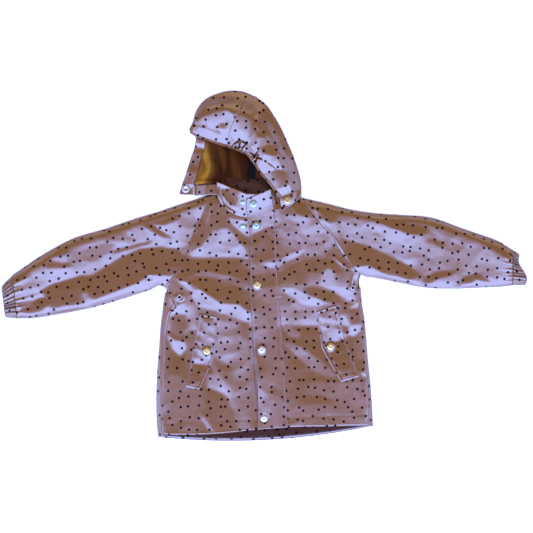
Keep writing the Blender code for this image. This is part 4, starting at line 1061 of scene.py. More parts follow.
# %% [markdown]
# ## The hood
# The hood lies on its side. The near half is a dome from its elastic opening edge to the crown fold, cut in
# two: a small peak over the face and the large side. Through the opening show the lining and the facing of
# the far half, which lies flat under it. These tables hold its lines, leans and creases.

# %% The near side of the hood
HoodRow = namedtuple("HoodRow", "edge crown edge_height dome bow")
HOOD_ROWS = [
    HoodRow((-133, 239), (-135, 246), 5, 1, 0),
    HoodRow((-122, 233), (-129, 258), 7, 4, 0),
    HoodRow((-108, 228), (-122, 280), 9, 8, 2),
    HoodRow((-92, 222), (-104, 301), 11, 13, 5),
    HoodRow((-81, 218), (-70, 314), 12, 16, 9),
    HoodRow((-73, 215), (-40, 314), 13, 18, 12),
    HoodRow((-66, 213), (-14, 304), 14, 19, 13),
    HoodRow((-54, 209), (4.5, 289.5), 16, 20, 12),
    HoodRow((-42, 204), (20, 267), 17, 20, 10),
    HoodRow((-32, 200), (32, 246), 18, 20, 8),
    HoodRow((-24, 190), (43, 221), 20, 19, 6),
    HoodRow((-17, 181), (53, 198), 20.5, 18, 4),
    HoodRow((-8, 167), (60.5, 175.5), 20.5, 16, 2),
    HoodRow((5, 152), (66, 156), 20, 12, 0),
    HoodRow((29, 122), (68, 139), 19, 6, 0),
]
PEAK_SEAM_ROW = 6
BAND_L_FOOT = [(31, 105), (48, 108), (67, 122)]
HOOD_LEANS = [
    Lean(0.9, [(-140, 240), (-115, 302), (-43, 323), (20, 280), (76, 154), (72, 111), (36, 122), (-7, 168),
                (-38, 204), (-94, 224)]),
    Lean(2.2, [(-12, 296), (20, 284), (45, 240), (66, 190), (72, 160), (50, 165), (30, 200), (10, 225),
               (0, 250), (-12, 270)]),
    Lean(-1, [(-115, 294), (-94, 305), (-58, 316), (-16, 307), (11, 280), (-4, 282), (-14, 291), (-25, 276),
              (-43, 271), (-59, 273), (-72, 285), (-94, 289)]),
    Lean(0.9, [(-119, 273), (-106, 285), (-76, 285), (-67, 276), (-76, 266), (-95, 266), (-106, 255),
               (-124, 258)]),
    Lean(1.2, [(-76, 284), (-63, 278), (-50, 256), (-40, 237), (-27, 217), (-38, 220), (-52, 240),
               (-65, 262)]),
    Lean(0.8, [(-103, 246), (-90, 249), (-74, 246), (-81, 238), (-95, 240)]),
    Lean(-0.7, [(-88, 249), (-77, 256), (-67, 253), (-70, 244), (-83, 246)]),
    Lean(0.6, [(-133, 244), (-119, 249), (-94, 237), (-65, 219), (-83, 220), (-108, 230)]),
    Lean(0.9, [(-38, 251), (-31, 267), (-18, 291), (-9, 289), (-4, 278), (-18, 267), (-27, 251), (-29, 230),
               (-34, 224), (-38, 237)]),
    Lean(-0.9, [(-11, 274), (-2, 269), (-14, 258), (-20, 240), (-20, 213), (-29, 213), (-25, 237),
                (-22, 258)]),
    Lean(0.9, [(-4, 271), (5, 276), (20, 264), (18, 249), (0, 242), (-11, 246)]),
    Lean(-0.9, [(-16, 242), (-4, 238), (7, 235), (0, 228), (-11, 230)]),
    Lean(1.1, [(-16, 215), (-11, 226), (-2, 230), (7, 220), (0, 213), (-9, 208)]),
    Lean(-0.9, [(-4, 210), (7, 215), (23, 213), (31, 206), (18, 197), (0, 199)]),
    Lean(0.5, [(25, 208), (36, 219), (45, 208), (38, 194)]),
    Lean(0.9, [(-5, 188), (7, 194), (27, 197), (25, 186), (7, 183)]),
    Lean(-1.1, [(-4, 163), (22, 172), (47, 168), (56, 156), (49, 145), (32, 138), (20, 136), (7, 148)]),
    Lean(0.9, [(34, 140), (50, 147), (63, 152), (67, 132), (50, 134), (36, 127)]),
]
HOOD_CREASES = [
    Crease([(-126, 256), (-117, 251)], 4, -1.0),
    Crease([(-126, 254), (-99, 247), (-68, 230)], 2.2, -0.7),
    Crease([(4, 188), (14, 181), (22, 174)], 2.5, -0.9),
    Crease([(-58, 215), (-50, 221), (-42, 224)], 1.3, -4.6),
    Crease([(-42, 224), (-36, 221), (-30, 217)], 1.3, -4.6),
    Crease([(-42, 224), (-44, 216), (-46, 209)], 1.3, -4.6),
    Crease([(-31, 219), (-37, 213), (-41, 207)], 1.3, -4.4),
    Crease([(-54, 210), (-46, 212), (-38, 213)], 1.3, -3.6),
    Crease([(-27, 204), (-20, 199), (-14, 194)], 1.3, -4.6),
    Crease([(-10, 206), (-16, 198), (-22, 190)], 1.3, -4.6),
    Crease([(-14, 194), (-8, 192), (-3, 190)], 1.3, -4.4),
    Crease([(-10, 199), (-13, 191), (-16, 183)], 1.3, -4.6),
    Crease([(-25, 196), (-17, 197), (-9, 199)], 1.3, -3.6),
    Crease([(-50, 217), (-46, 220)], 3.0, 2.0),
    Crease([(-20, 192), (-17, 188)], 3.0, 2.2),
]
HOOD_CELLS = 140
DOME_SHARE = 0.6
CROWN_LEVEL = 8.6  # height beside the crown fold, before the cloth rounds over
CROWN_RIM = 9.0
hood_lean = leaning_cloth(HOOD_LEANS, (-150, 110), (80, 320))
PEAK_ROWS = 56
SIDE_HOOD_ROWS = 230
CHANNEL = 12.0  # width of the elastic channel along the opening edge
# Painted shade: the star creases and the frill's valleys are darkened through the cloth's shade amount.
STAR_CREASES = HOOD_CREASES[3:13]  # the sharp ones, which meet in stars beside the opening
STAR_DEPTH = 4.2  # a star crease of this depth has the full fold shade
FRILL_COLUMNS = 6  # the frill is shaded in the columns next to the opening edge
FRILL_ENDS = 8  # but not in this many rows at its two ends

# %% [markdown]
# ## The dome and its gathers
# Lines from the opening edge over the crown fold make the dome. The elastic along the opening frills the
# edge, and pinches the cloth beside it into small stars of sharp creases.

# %% The hood's peak, side and left neck band
def hood_line(row):
    """One line over the near side of the hood, from its opening edge to the crown fold and round it to
    the floor. row is (edge x, y, crown x, y, edge height, dome, bow)."""
    edge, crown = row[:2], row[2:4]
    edge_height, dome, bow = row[4:]
    length = np.linalg.norm(crown - edge)
    across = (crown - edge) / length
    side = np.array([-across[1], across[0]])
    t = np.sin(np.linspace(0, math.pi / 2, HOOD_CELLS + 1)) * 0.3 + np.linspace(0, 0.7, HOOD_CELLS + 1)
    reach = (length - RIM_START) / length
    line = edge + across * (t * reach * length)[:, None] + side * (bow * 4 * t * (1 - t))[:, None]
    x, y = line.T
    fall = smooth_step(0.58, 1.0, t)
    height = mix(edge_height + DOME_SHARE * dome * (1 - (1 - t) ** 4), CROWN_LEVEL, fall)
    folds = creased(HOOD_CREASES, x, y) + hood_lean(x, y) + 0.3 * ripple(x, y, 41, 44)
    height += folds * np.sin(np.pi * np.clip(t, 0, 1)) ** 0.3
    height = rounded_rim((1 - t) * length, height, CROWN_RIM)
    height += 0.7 * np.exp(-(((t * length - 1.6) / 1.5) ** 2))  # the bound edge is a small roll
    out = RIM_START - FOLD_RADIUS * (1 - np.cos(WRAP_TURNS))
    around = np.column_stack([line[-1] + across * out[:, None], FOLD_RADIUS * (1 - np.sin(WRAP_TURNS))])
    return np.vstack([np.column_stack([line, height]), around])


def hood_table(cells, first, last):
    table = np.array([[*r.edge, *r.crown, r.edge_height, r.dome, r.bow] for r in HOOD_ROWS], float)
    return resample(table[first:last + 1], cells)


def gather_edge(side, seed):
    """The elastic channel along the middle of the opening edge: a frill at the very edge, tight pleats inside
    the channel, a stitched groove where it ends, and a few longer folds that run out over the hood."""
    f = np.linspace(0, 1, len(side))
    outward = side[:, 0, :2] - side[:, 2, :2]
    outward /= np.linalg.norm(outward, axis=1)[:, None]
    middle = side[len(side) // 3, :, :2]
    away = np.concatenate([[0], np.cumsum(np.linalg.norm(np.diff(middle, axis=0), axis=1))])
    swell = smooth_step(0.0, 0.07, f) * (1 - smooth_step(0.42, 0.58, f))
    for c in range(HOOD_CELLS * 2 // 3):
        inside = math.exp(-((away[c] / CHANNEL) ** 4))
        pleats = gather_wave(f + 0.012 * math.sin(away[c] / 2.5), 0, seed, 21, 12)
        folds = gather_wave(f, away[c], seed + 1, 9, 26)
        groove = math.exp(-(((away[c] - CHANNEL) / 1.6) ** 2))
        frill = swell * (pleats - 0.3) * math.exp(-((away[c] / 3.5) ** 2))
        side[:, c, 2] += swell * (0.25 * pleats * inside + 0.6 * folds - 0.5 * groove) + 1.0 * frill
        side[:, c, :2] += outward * 1.6 * frill[:, None]


last = len(HOOD_ROWS) - 1
peak = np.array([hood_line(row) for row in hood_table(PEAK_ROWS, 0, PEAK_SEAM_ROW)])
side = np.array([hood_line(row) for row in hood_table(SIDE_HOOD_ROWS, PEAK_SEAM_ROW, last)])
side[0, :, 0] += 2 * SEAM
gather_edge(side, 42)
cloth("hood_peak", peak[:, ::-1], "shell_cloth", uv=peak[:, ::-1, :2], shift=(6, 2))
# Painted shade in the star creases and between the frill's pleats.
painted_pinch_shade = np.clip(-creased(STAR_CREASES, side[..., 0], side[..., 1]) / STAR_DEPTH, 0, 1)
in_frill = np.s_[FRILL_ENDS:-FRILL_ENDS, :FRILL_COLUMNS]
painted_pinch_shade[in_frill] = np.maximum(painted_pinch_shade, valleys(side.transpose(1, 0, 2), 8, 1.2).T)[in_frill]
cloth("hood_side", side[:, ::-1], "shell_cloth", uv=side[:, ::-1, :2], shift=(2, 9), shade=painted_pinch_shade[:, ::-1])

top = side[-1, :HOOD_CELLS + 1].copy()
top[:, 1] -= SEAM
foot = on_cloth(curve(BAND_L_FOOT, HOOD_CELLS + 1), DOUBLE_WALL + 1.2)
t = np.linspace(0, 1, 13)[:, None, None]
band = foot[None] * (1 - t) + top[None] * t
band[..., 2] += 1.3 * np.sin(np.pi * t[..., 0]) ** 0.6
cloth("hood_band_l", band, "shell_cloth", shift=(3, 3))

# %% [markdown]
# ## Inside the hood
# The far half of the hood is cloth outside and a plain cotton lining inside, with a facing of the outer cloth
# along its open edge. The lining is cut a little full, so it lies in loose folds. The right end of the neck
# band and a hook-and-loop tab lie inside too.

# %% The far side, its facing, lining, band and tab
HOOD_FAR_SIDE = [
    ((-147, 146), (60, 146)),
    ((-142, 160), (57, 160)),
    ((-133, 190), (47, 188)),
    ((-126, 210), (38, 210)),
    ((-121.5, 224), (31, 226)),
    ((-126, 238), (23, 241)),
    ((-125, 255), (13, 256)),
    ((-117, 275), (-1, 279)),
    ((-105, 292), (-18, 295)),
    ((-78, 305), (-38, 306)),
]
FACING_ROWS = [
    ((-153, 128), (-128, 127)),
    ((-148, 146), (-127, 146)),
    ((-142.5, 160), (-122.5, 162)),
    ((-133, 190), (-115, 188)),
    ((-126, 210), (-108, 208)),
    ((-122, 229), (-106, 225)),
]
LINING_ROWS = [
    ((-126, 147), (52, 147)),
    ((-121.5, 162), (52, 162)),
    ((-114, 188), (42, 188)),
    ((-107, 208), (34, 208)),
    ((-105, 219), (26, 225)),
    ((-104, 232), (14, 245)),
    ((-98, 250), (0, 262)),
]
LINING_CREASES = [
    Crease([(-112, 208), (-112, 186), (-114, 160)], 4, 5.5),
    Crease([(-100, 207), (-98, 180), (-105, 156)], 4.5, 7.0),
    Crease([(-84, 192), (-82, 174), (-77, 156)], 4.5, 6.0),
    Crease([(-62, 212), (-60, 185), (-62, 160)], 8, 3.4),
    Crease([(-40, 208), (-38, 185), (-34, 165)], 9, 3.0),
    Crease([(-124, 150), (-105, 151), (-88, 150)], 5, 5.5),
    Crease([(-106, 224), (-94, 215)], 6, 2.0),
]
BAND_R_ROWS = [((-126.3, 126), (-83.5, 128)), ((-126.3, 145.3), (-83.5, 145.3))]
BAND_R_LIFT = 7.0
TAB_ROWS = [((-32, 156), (-15, 156)), ((-28, 192), (-16, 192))]

flat = ruled(HOOD_FAR_SIDE, 40, 36)
cloth("hood_far", np.dstack([flat, np.full(flat.shape[:2], WALL)]), "shell_cloth", thick=1.0)

flat = ruled(FACING_ROWS, 14, 60)
height = WALL + (WALL + LAY) * smooth_step(138, 148, flat[..., 1]) + 2.0 * smooth_step(208, 222, flat[..., 1])
edge_curl = np.linspace(0, 1, flat.shape[1])[None]
height = height + 0.25 * ripple(flat[..., 0], flat[..., 1], 51, 26) * smooth_step(0, 0.2, edge_curl)
height += 0.6 * np.exp(-((edge_curl - 0.06) / 0.06) ** 2)
ramp = (flat[..., 1] + 0.3 * flat[..., 0]) / 36 % 1
height += 1.9 * ramp * (1 - smooth_step(0.5, 1.0, ramp)) * smooth_step(150, 160, flat[..., 1])
cloth("hood_facing", np.dstack([flat, height]), "shell_cloth", shift=(8, 1))

flat = ruled(LINING_ROWS, 90, 56)
relief = np.maximum(creased(LINING_CREASES, flat[..., 0], flat[..., 1]), 0)
relief = relief + 0.9 * (1 + ripple(flat[..., 0], flat[..., 1], 52, 40))
cloth("hood_lining", np.dstack([flat, 2 * WALL + LAY + relief]), "lining_cloth")

flat = ruled(BAND_R_ROWS, 60, 12)
x = flat[..., 0]
height = DOUBLE_WALL + BAND_R_LIFT * smooth_step(-122, -104, x)
height = height + 0.35 * np.sin(x / 1.7 + 1.5 * np.sin(x / 5)) * smooth_step(-126, -122, x)
cloth("hood_band_r", np.dstack([flat, height]), "shell_cloth", thick=1.4)

flat = ruled(TAB_ROWS, 8, 16)
height = np.array([[drop_on("hood_lining", *p) + LAY + 1.2 for p in row] for row in flat])
height = height.max(axis=1, keepdims=True) * 0.5 + height * 0.5
cloth("hood_tab", np.dstack([flat, height]), "tab_cloth", thick=0.6)

# %% [markdown]
# ## Pocket flaps
# Each flap is sewn along its outer edge and snapped near the middle. Two rows of topstitching run round it,
# and the double cloth puckers between them.

# %% Flaps
FlapRow = namedtuple("FlapRow", "sewn free")
FLAP_R = [
    FlapRow((-116, -86), (-84, -91)),
    FlapRow((-123, -122), (-86, -130)),
    FlapRow((-129, -152), (-90, -162)),
    FlapRow((-142, -220), (-116, -224)),
]
FLAP_L = [
    FlapRow((130, -70), (94, -82)),
    FlapRow((141, -110), (101, -126)),
    FlapRow((148, -138), (106, -152)),
    FlapRow((172, -201), (139, -211)),
]
FLAP_LOFT = 0.8
FLAP_ACROSS, FLAP_ALONG = 40, 140  # cells of the even grid that a flap's lines are picked from


def picked(count, cells, crowding):
    """Which lines of an even grid to keep, so that they crowd towards both of its edges."""
    t = np.linspace(0, 1, count)
    at = mix(t, 0.5 - 0.5 * np.cos(math.pi * t), crowding)
    return np.round(np.interp(at, np.linspace(0, 1, cells + 1), np.arange(cells + 1))).astype(int)


def make_flap(name, table, seed):
    """A pocket flap that lies on the front, with turned edges and slanting folds between them."""
    flat = ruled(table, FLAP_ACROSS, FLAP_ALONG)[::-1]
    flat = flat[picked(71, FLAP_ALONG, 0.4)][:, picked(31, FLAP_ACROSS, 0.7)]
    if name == "flap_l":
        flat = flat[:, ::-1]
    grid = on_cloth(flat, 1.6)
    x, y = flat[..., 0], flat[..., 1]
    ring = [curve(line, 60) for line in (flat[:, 0], flat[:, -1], flat[0], flat[-1])]
    sewn, free, one_end, other_end = [distance_along(line, x, y) for line in ring]
    edge = np.min([sewn[0], free[0], one_end[0], other_end[0]], axis=0)
    sides = np.minimum(sewn[0], free[0])
    folds = 0.8 * gather_wave(sewn[1] + 0.0025 * sewn[0], sides, seed, 8, 26)
    folds += FLAP_LOFT * smooth_step(0, 14, edge)
    grid[..., 2] += turned_edge(edge) + folds * smooth_step(2, 6, edge) * snap_rest(x, y)
    grid[..., 2] -= 0.35 * np.exp(-(((edge - 5.2) / 0.9) ** 2))
    return cloth(name, grid, "shell_cloth", thick=0.9, shift=(4, 7))


make_flap("flap_r", FLAP_R, 61)
make_flap("flap_l", FLAP_L, 62)

# %% [markdown]
# ## Snaps, studs and eyelets
# All the metal is turned, so each kind is half an outline spun round its axis by a Screw modifier. The caps
# are pressed from thin sheet: a flat rim, a raised ring and a shallow dish in the middle.

# %% Turned metal
METAL_SIDES = 48
PROFILES = {
    "CAP": [(0, 0), (5.6, 0), (6.5, 0.25), (6.7, 0.8), (6.5, 1.4), (5.8, 1.75), (5.1, 1.6), (4.8, 1.7),
            (4.3, 2.3), (3.4, 2.6), (2.4, 2.45), (1.2, 2.35), (0, 2.35)],
    "SOCKET": [(0, 0), (6.6, 0), (7.0, 0.6), (6.8, 1.3), (5.9, 1.8), (4.9, 1.95), (3.8, 1.9), (3.1, 1.5),
               (2.7, 0.8), (2.3, 0.7), (0, 0.7)],
    "STUD": [(0, 0), (4.4, 0), (4.6, 0.4), (4.3, 0.8), (3.0, 1.0), (2.4, 1.3), (2.1, 1.9), (2.2, 2.4),
             (1.8, 2.6), (0.9, 2.65), (0, 2.65)],
    "EYELET": [(2.8, 0), (4.2, 0), (4.4, 0.4), (4.1, 0.8), (3.7, 1.05), (3.3, 1.05), (2.95, 0.9), (2.8, 0.6)],
}
METAL_SLOTS = {
    "snap_gold": ("snap_front_3", "snap_flap_r", "snap_flap_l", "snap_hood_l"),
    "snap_pearl": ("snap_front_1", "snap_front_2", "stud_collar", "stud_front"),
}


def make_metal(snap):
    """A turned piece of metal that sits on its cloth."""
    profile = PROFILES[snap.profile]
    reach = max(r for r, _ in profile)
    turns = np.linspace(0, 2 * math.pi, 9)[:-1]
    spots = [(0, 0)] + [(reach * math.cos(a), reach * math.sin(a)) for a in turns]
    seat = max(drop_on(snap.on, snap.x + dx, snap.y + dy) for dx, dy in spots) + 0.05
    points = [Vector((r * MM, 0, z * MM)) for r, z in reversed(profile)]
    edges = [(i, i + 1) for i in range(len(points) - 1)]
    if snap.profile == "EYELET":
        edges.append((len(points) - 1, 0))
    mesh = bpy.data.meshes.new(snap.name)
    mesh.from_pydata(points, edges, [])
    made = bpy.data.objects.new(snap.name + "_metal", mesh)
    COAT.objects.link(made)
    made.location = (snap.x * MM, snap.y * MM, seat * MM)
    turn = made.modifiers.new("turned", "SCREW")
    turn.steps = turn.render_steps = METAL_SIDES
    turn.use_merge_vertices = True
    turn.merge_threshold = 0.0001
    turn.use_smooth_shade = True
    slot = next((s for s, names in METAL_SLOTS.items() if snap.name in names), "snap_steel")
    return settle(made, slot, [snap.name])


for snap in SNAPS:
    make_metal(snap)

# %% [markdown]
# ## Stitching
# Every visible seam has rows of machine stitches. Each stitch is a tiny spindle of thread, half sunk in the
# cloth, and one mesh holds a whole run of them. They are laid on the finished cloth by dropping each end onto
# it, so the thread follows every pucker.

# %% Stitch runs
STITCH_LENGTH = 2.6
STITCH_PITCH = 3.5
THREAD = 0.27  # half the thread's thickness
THREAD_SINK = 0.12  # how far a stitch's two ends sink into the cloth


def stitch_points(on, path):
    """The two ends of each stitch along a path, on the cloth's visible face."""
    path = curve(path, max(int(length_of(curve(path, 60)) / 0.5), 4))
    steps = np.concatenate([[0], np.cumsum(np.linalg.norm(np.diff(path, axis=0), axis=1))])
    for start in np.arange(STITCH_PITCH / 2, steps[-1] - STITCH_LENGTH, STITCH_PITCH):
        ends = []
        for at in (start, start + STITCH_LENGTH):
            x, y = (float(np.interp(at, steps, path[:, k])) for k in (0, 1))
            z = drop_on(on, x, y)
            ends.append(np.array([x, y, z]))
        if ends[0][2] > 0 and ends[1][2] > 0:
            yield ends


def stitches(name, runs):
    """One mesh for several runs of stitches, each run a sheet's name and a path."""
    points, faces = [], []
    for on, path in runs:
        for a, b in stitch_points(on, path):
            along = b - a
            side = np.array([-along[1], along[0], 0])
            side *= THREAD / np.linalg.norm(side)
            rise = np.array([0, 0, THREAD])
            middle = (a + b) / 2 + [0, 0, 0.1]
            first = len(points)
            points += [a - [0, 0, THREAD_SINK], b - [0, 0, THREAD_SINK]]
            points += [middle + side, middle + rise, middle - side, middle - rise]
            for k in range(4):
                n = (k + 1) % 4
                faces += [(first, first + 2 + n, first + 2 + k), (first + 1, first + 2 + k, first + 2 + n)]
    mesh = bpy.data.meshes.new(name)
    mesh.from_pydata(np.array(points) * MM, [], faces)
    mesh.shade_smooth()
    made = bpy.data.objects.new(name, mesh)
    COAT.objects.link(made)
    print(f"{name}: {len(points) // 6} stitches")
    return settle(made, "thread", [])


def beside(path, offset):
    """A line beside a path, offset to its left as it runs."""
    p = curve(path, 80)
    along = np.gradient(p, axis=0)
    along /= np.linalg.norm(along, axis=1)[:, None]
    return p + offset * np.column_stack([-along[:, 1], along[:, 0]])


stitches("stitches_placket", [
    ("placket", beside(PLACKET_EDGE, 3.0)),
    ("placket", beside(PLACKET_SEAM, -4.2)),
])
stitches("stitches_side", [("back", [(row.right[0] - 3, row.right[1]) for row in SIDE_ROWS[:7]])])
stitches("stitches_hem", [("front_r", HEM_LINE_R), ("front_l", HEM_LINE_L)])
stitches("stitches_armholes", [
    ("front_r", beside(RAGLAN_R, 2.5)),
    ("front_l", beside(RAGLAN_L, -2.5)),
])
for name, table in (("flap_r", FLAP_R), ("flap_l", FLAP_L)):
    flat = ruled(table, 20, 40)
    runs = []
    for inset in (1, 4):
        one_side, end = flat[inset:-inset, inset], flat[-inset - 1, inset:-inset]
        other_side = flat[inset:-inset, -inset - 1]
        runs.append((name, np.vstack([one_side, end, other_side[::-1]])))
    stitches("stitches_" + name, runs)

# %% [markdown]
# ## The dot print
# The cloth is printed with small uneven dots. A Voronoi texture drops one point in every cell of a loose
# grid, and a threshold on the distance to it draws the dot. A little noise in the distance keeps the dots
# from being perfect circles. The group puts out a mask, so each cloth can use it in its own way.

# %% Node helpers
def new_group(name, inputs, outputs):
    """An empty shader group. inputs is a table of (name, default), outputs a list of (name, kind)."""
    group = bpy.data.node_groups.new(name, "ShaderNodeTree")
    for socket, default in inputs:
        made = group.interface.new_socket(socket, in_out="INPUT", socket_type="NodeSocketFloat")
        made.default_value = default
    for socket, kind in outputs:
        group.interface.new_socket(socket, in_out="OUTPUT", socket_type=kind)
    return group, group.nodes.new("NodeGroupInput"), group.nodes.new("NodeGroupOutput")


def add(tree, kind, **settings):
    """A node with its settings and its unlinked input values, named by socket or by number."""
    node = tree.nodes.new(kind)
    values = settings.pop("values", {})
    for key, value in settings.items():
        setattr(node, key, value)
    for key, value in values.items():
        node.inputs[key].default_value = value
    return node


def scaled(tree, value, factor):
    """A link's value times a number or another link."""
    node = add(tree, "ShaderNodeMath", operation="MULTIPLY")
    tree.links.new(value, node.inputs[0])
    if isinstance(factor, (int, float)):
        node.inputs[1].default_value = factor
    else:
        tree.links.new(factor, node.inputs[1])
    return node.outputs[0]


# %% [markdown]
# ## Making the dots
# The group takes the number of dots in a metre, their radius next to their spacing, and how shaky they are.

# %% The dot group
dots, given, put = new_group("dot print", [("Per Metre", 57), ("Radius", 0.132), ("Unevenness", 0.03)],
                             [("Mask", "NodeSocketFloat")])
where = add(dots, "ShaderNodeUVMap", uv_map="print")
cells = add(dots, "ShaderNodeTexVoronoi", voronoi_dimensions="2D", feature="F1", values={"Randomness": 0.66})
blur = add(dots, "ShaderNodeTexNoise", noise_dimensions="2D", values={"Scale": 620.0, "Detail": 1.0})
dots.links.new(where.outputs["UV"], cells.inputs["Vector"])
dots.links.new(given.outputs["Per Metre"], cells.inputs["Scale"])
dots.links.new(where.outputs["UV"], blur.inputs["Vector"])
centred = add(dots, "ShaderNodeMath", operation="SUBTRACT", values={1: 0.5})
dots.links.new(blur.outputs["Fac"], centred.inputs[0])
shaky = add(dots, "ShaderNodeMath", operation="MULTIPLY_ADD")
dots.links.new(centred.outputs[0], shaky.inputs[0])
dots.links.new(given.outputs["Unevenness"], shaky.inputs[1])
dots.links.new(cells.outputs["Distance"], shaky.inputs[2])
inside = add(dots, "ShaderNodeMath", operation="SUBTRACT")
dots.links.new(given.outputs["Radius"], inside.inputs[0])
dots.links.new(shaky.outputs[0], inside.inputs[1])
edge = add(dots, "ShaderNodeMapRange", values={"From Min": -0.006, "From Max": 0.006})
dots.links.new(inside.outputs[0], edge.inputs["Value"])
dots.links.new(edge.outputs["Result"], put.inputs["Mask"])

# %% [markdown]
# ## Creases too small for the mesh
# Between the modelled folds, coated cloth shows faint handling creases and, very close up, its weave. Both
# are heights for a Bump node. The crease group squares off soft noise into thin ridges, and the weave group
# crosses two rows of fine waves.

# %% Crease and weave groups
handling, given, put = new_group("handling creases", [("Per Metre", 30), ("Sharpness", 4)],
                                 [("Height", "NodeSocketFloat"), ("Mottle", "NodeSocketFloat")])
where = add(handling, "ShaderNodeUVMap", uv_map="print")
soft = add(handling, "ShaderNodeTexNoise", noise_dimensions="2D", values={"Detail": 3.0, "Roughness": 0.55})
handling.links.new(where.outputs["UV"], soft.inputs["Vector"])
handling.links.new(given.outputs["Per Metre"], soft.inputs["Scale"])
level = add(handling, "ShaderNodeMath", operation="SUBTRACT", values={1: 0.5})
handling.links.new(soft.outputs["Fac"], level.inputs[0])
ridge = add(handling, "ShaderNodeMath", operation="ABSOLUTE")
handling.links.new(level.outputs[0], ridge.inputs[0])
sharp = scaled(handling, ridge.outputs[0], given.outputs["Sharpness"])
crest = add(handling, "ShaderNodeMath", operation="SUBTRACT", use_clamp=True, values={0: 1.0})
handling.links.new(sharp, crest.inputs[1])
handling.links.new(crest.outputs[0], put.inputs["Height"])
handling.links.new(soft.outputs["Fac"], put.inputs["Mottle"])

weave, given, put = new_group("plain weave", [("Threads Per Metre", 1600)], [("Height", "NodeSocketFloat")])
where = add(weave, "ShaderNodeUVMap", uv_map="print")
apart = add(weave, "ShaderNodeSeparateXYZ")
weave.links.new(where.outputs["UV"], apart.inputs[0])
waves = []
for axis in ("X", "Y"):
    turn = scaled(weave, scaled(weave, apart.outputs[axis], given.outputs["Threads Per Metre"]), math.pi)
    wave = add(weave, "ShaderNodeMath", operation="SINE")
    weave.links.new(turn, wave.inputs[0])
    waves.append(wave.outputs[0])
weave.links.new(scaled(weave, waves[0], waves[1]), put.inputs["Height"])

# %% [markdown]
# ## Helpers for materials
# Each material is one Principled shader. Plain values go on its own sockets, and only what varies over the
# surface comes through a link.

# %% Material helpers
def shader_material(name, color, roughness, **extra):
    """A material with its Principled shader's plain values set on the shader's own sockets."""
    made = bpy.data.materials.new(name)
    made.use_nodes = True
    shader = made.node_tree.nodes["Principled BSDF"]
    shader.inputs["Base Color"].default_value = (*color, 1)
    shader.inputs["Roughness"].default_value = roughness
    for socket, value in extra.items():
        shader.inputs[socket.replace("_", " ")].default_value = value
    return made, made.node_tree, shader


def placed(tree, group, **values):
    node = tree.nodes.new("ShaderNodeGroup")
    node.node_tree = group
    for socket, value in values.items():
        node.inputs[socket.replace("_", " ")].default_value = value
    return node


def color_mix(tree, first, second, factor):
    """Two colours mixed by a link; each may be a colour or a link."""
    node = add(tree, "ShaderNodeMix", data_type="RGBA")
    tree.links.new(factor, node.inputs["Factor"])
    for socket, color in ((node.inputs[6], first), (node.inputs[7], second)):
        if isinstance(color, tuple):
            socket.default_value = (*color, 1)
        else:
            tree.links.new(color, socket)
    return node.outputs[2]


def bumped(tree, shader, *layers):
    """Bump nodes in a chain into the shader's Normal; a layer is (height link, distance in mm, strength)."""
    normal = None
    for height, distance, strength in layers:
        bump = add(tree, "ShaderNodeBump", values={"Distance": distance * MM, "Strength": strength})
        tree.links.new(height, bump.inputs["Height"])
        if normal is not None:
            tree.links.new(normal, bump.inputs["Normal"])
        normal = bump.outputs["Normal"]
    tree.links.new(normal, shader.inputs["Normal"])
    return normal


# %% [markdown]
# ## The coated cloth
# The base is a brown rose with the clear coat of a raincoat over it. Where the coat mirrors the cool panels
# it turns lavender, and where it mirrors the dim side the brown shows, which is what makes the cloth look as
# if it changed colour. The printed dots are matt, so the coat is switched off on them. The painted shade
# darkens the colour and dulls the coat in pinched folds and under eyelets, and a darker, duller copy of the
# cloth paints the shade on the back collar and the back's hem.

# %% Dotted cloth
BROWN_ROSE = (0.086, 0.029, 0.005)
WORN_ROSE = (0.098, 0.036, 0.009)
PAINTED_SHADE_ROSE = (0.022, 0.007, 0.004)
PAINTED_SHADE_WORN_ROSE = (0.036, 0.013, 0.008)
DOT_INK = (0.002, 0.001, 0.001)
MUSTARD = (0.210, 0.098, 0.011)
MUSTARD_FOLD_SHADE = (0.11, 0.044, 0.006)
MUSTARD_HOOD_SHADE = (0.050, 0.016, 0.003)
MUSTARD_HOOD_AND_FOLD_SHADE = (0.022, 0.006, 0.002)


def dotted_cloth(name, base, worn, weight):
    """Printed cloth with a clear coat of the given weight everywhere but on its dots."""
    made, tree, shader = shader_material(name, base, 0.6, Coat_Roughness=0.21, Coat_IOR=1.75,
                                         Specular_IOR_Level=0.0)
    print_mask = placed(tree, dots)
    creases = placed(tree, handling, Per_Metre=26)
    threads = placed(tree, weave)
    # Painted shade: the shade amount mixes the colour towards a dark rose and dulls the coat.
    depth = tree.nodes.new("ShaderNodeAttribute")
    depth.attribute_name = "painted_shade_amount"
    tone = color_mix(tree, base, worn, creases.outputs["Mottle"])
    tone = color_mix(tree, tone, PAINTED_SHADE_ROSE, depth.outputs["Fac"])
    tree.links.new(color_mix(tree, tone, DOT_INK, print_mask.outputs["Mask"]), shader.inputs["Base Color"])
    coat = add(tree, "ShaderNodeMapRange", values={"To Min": weight, "To Max": 0.0})
    tree.links.new(print_mask.outputs["Mask"], coat.inputs["Value"])
    sheen = add(tree, "ShaderNodeMapRange", values={"To Min": 1.0, "To Max": 0.15})
    tree.links.new(depth.outputs["Fac"], sheen.inputs["Value"])
    coating = scaled(tree, coat.outputs["Result"], sheen.outputs["Result"])
    tree.links.new(coating, shader.inputs["Coat Weight"])
    normal = bumped(tree, shader, (creases.outputs["Height"], 0.35, 0.2),
                    (threads.outputs["Height"], 0.03, 0.3))
    tree.links.new(normal, shader.inputs["Coat Normal"])
    return made


MATERIALS["shell_cloth"] = dotted_cloth("coated dotted cloth", BROWN_ROSE, WORN_ROSE, 1.0)
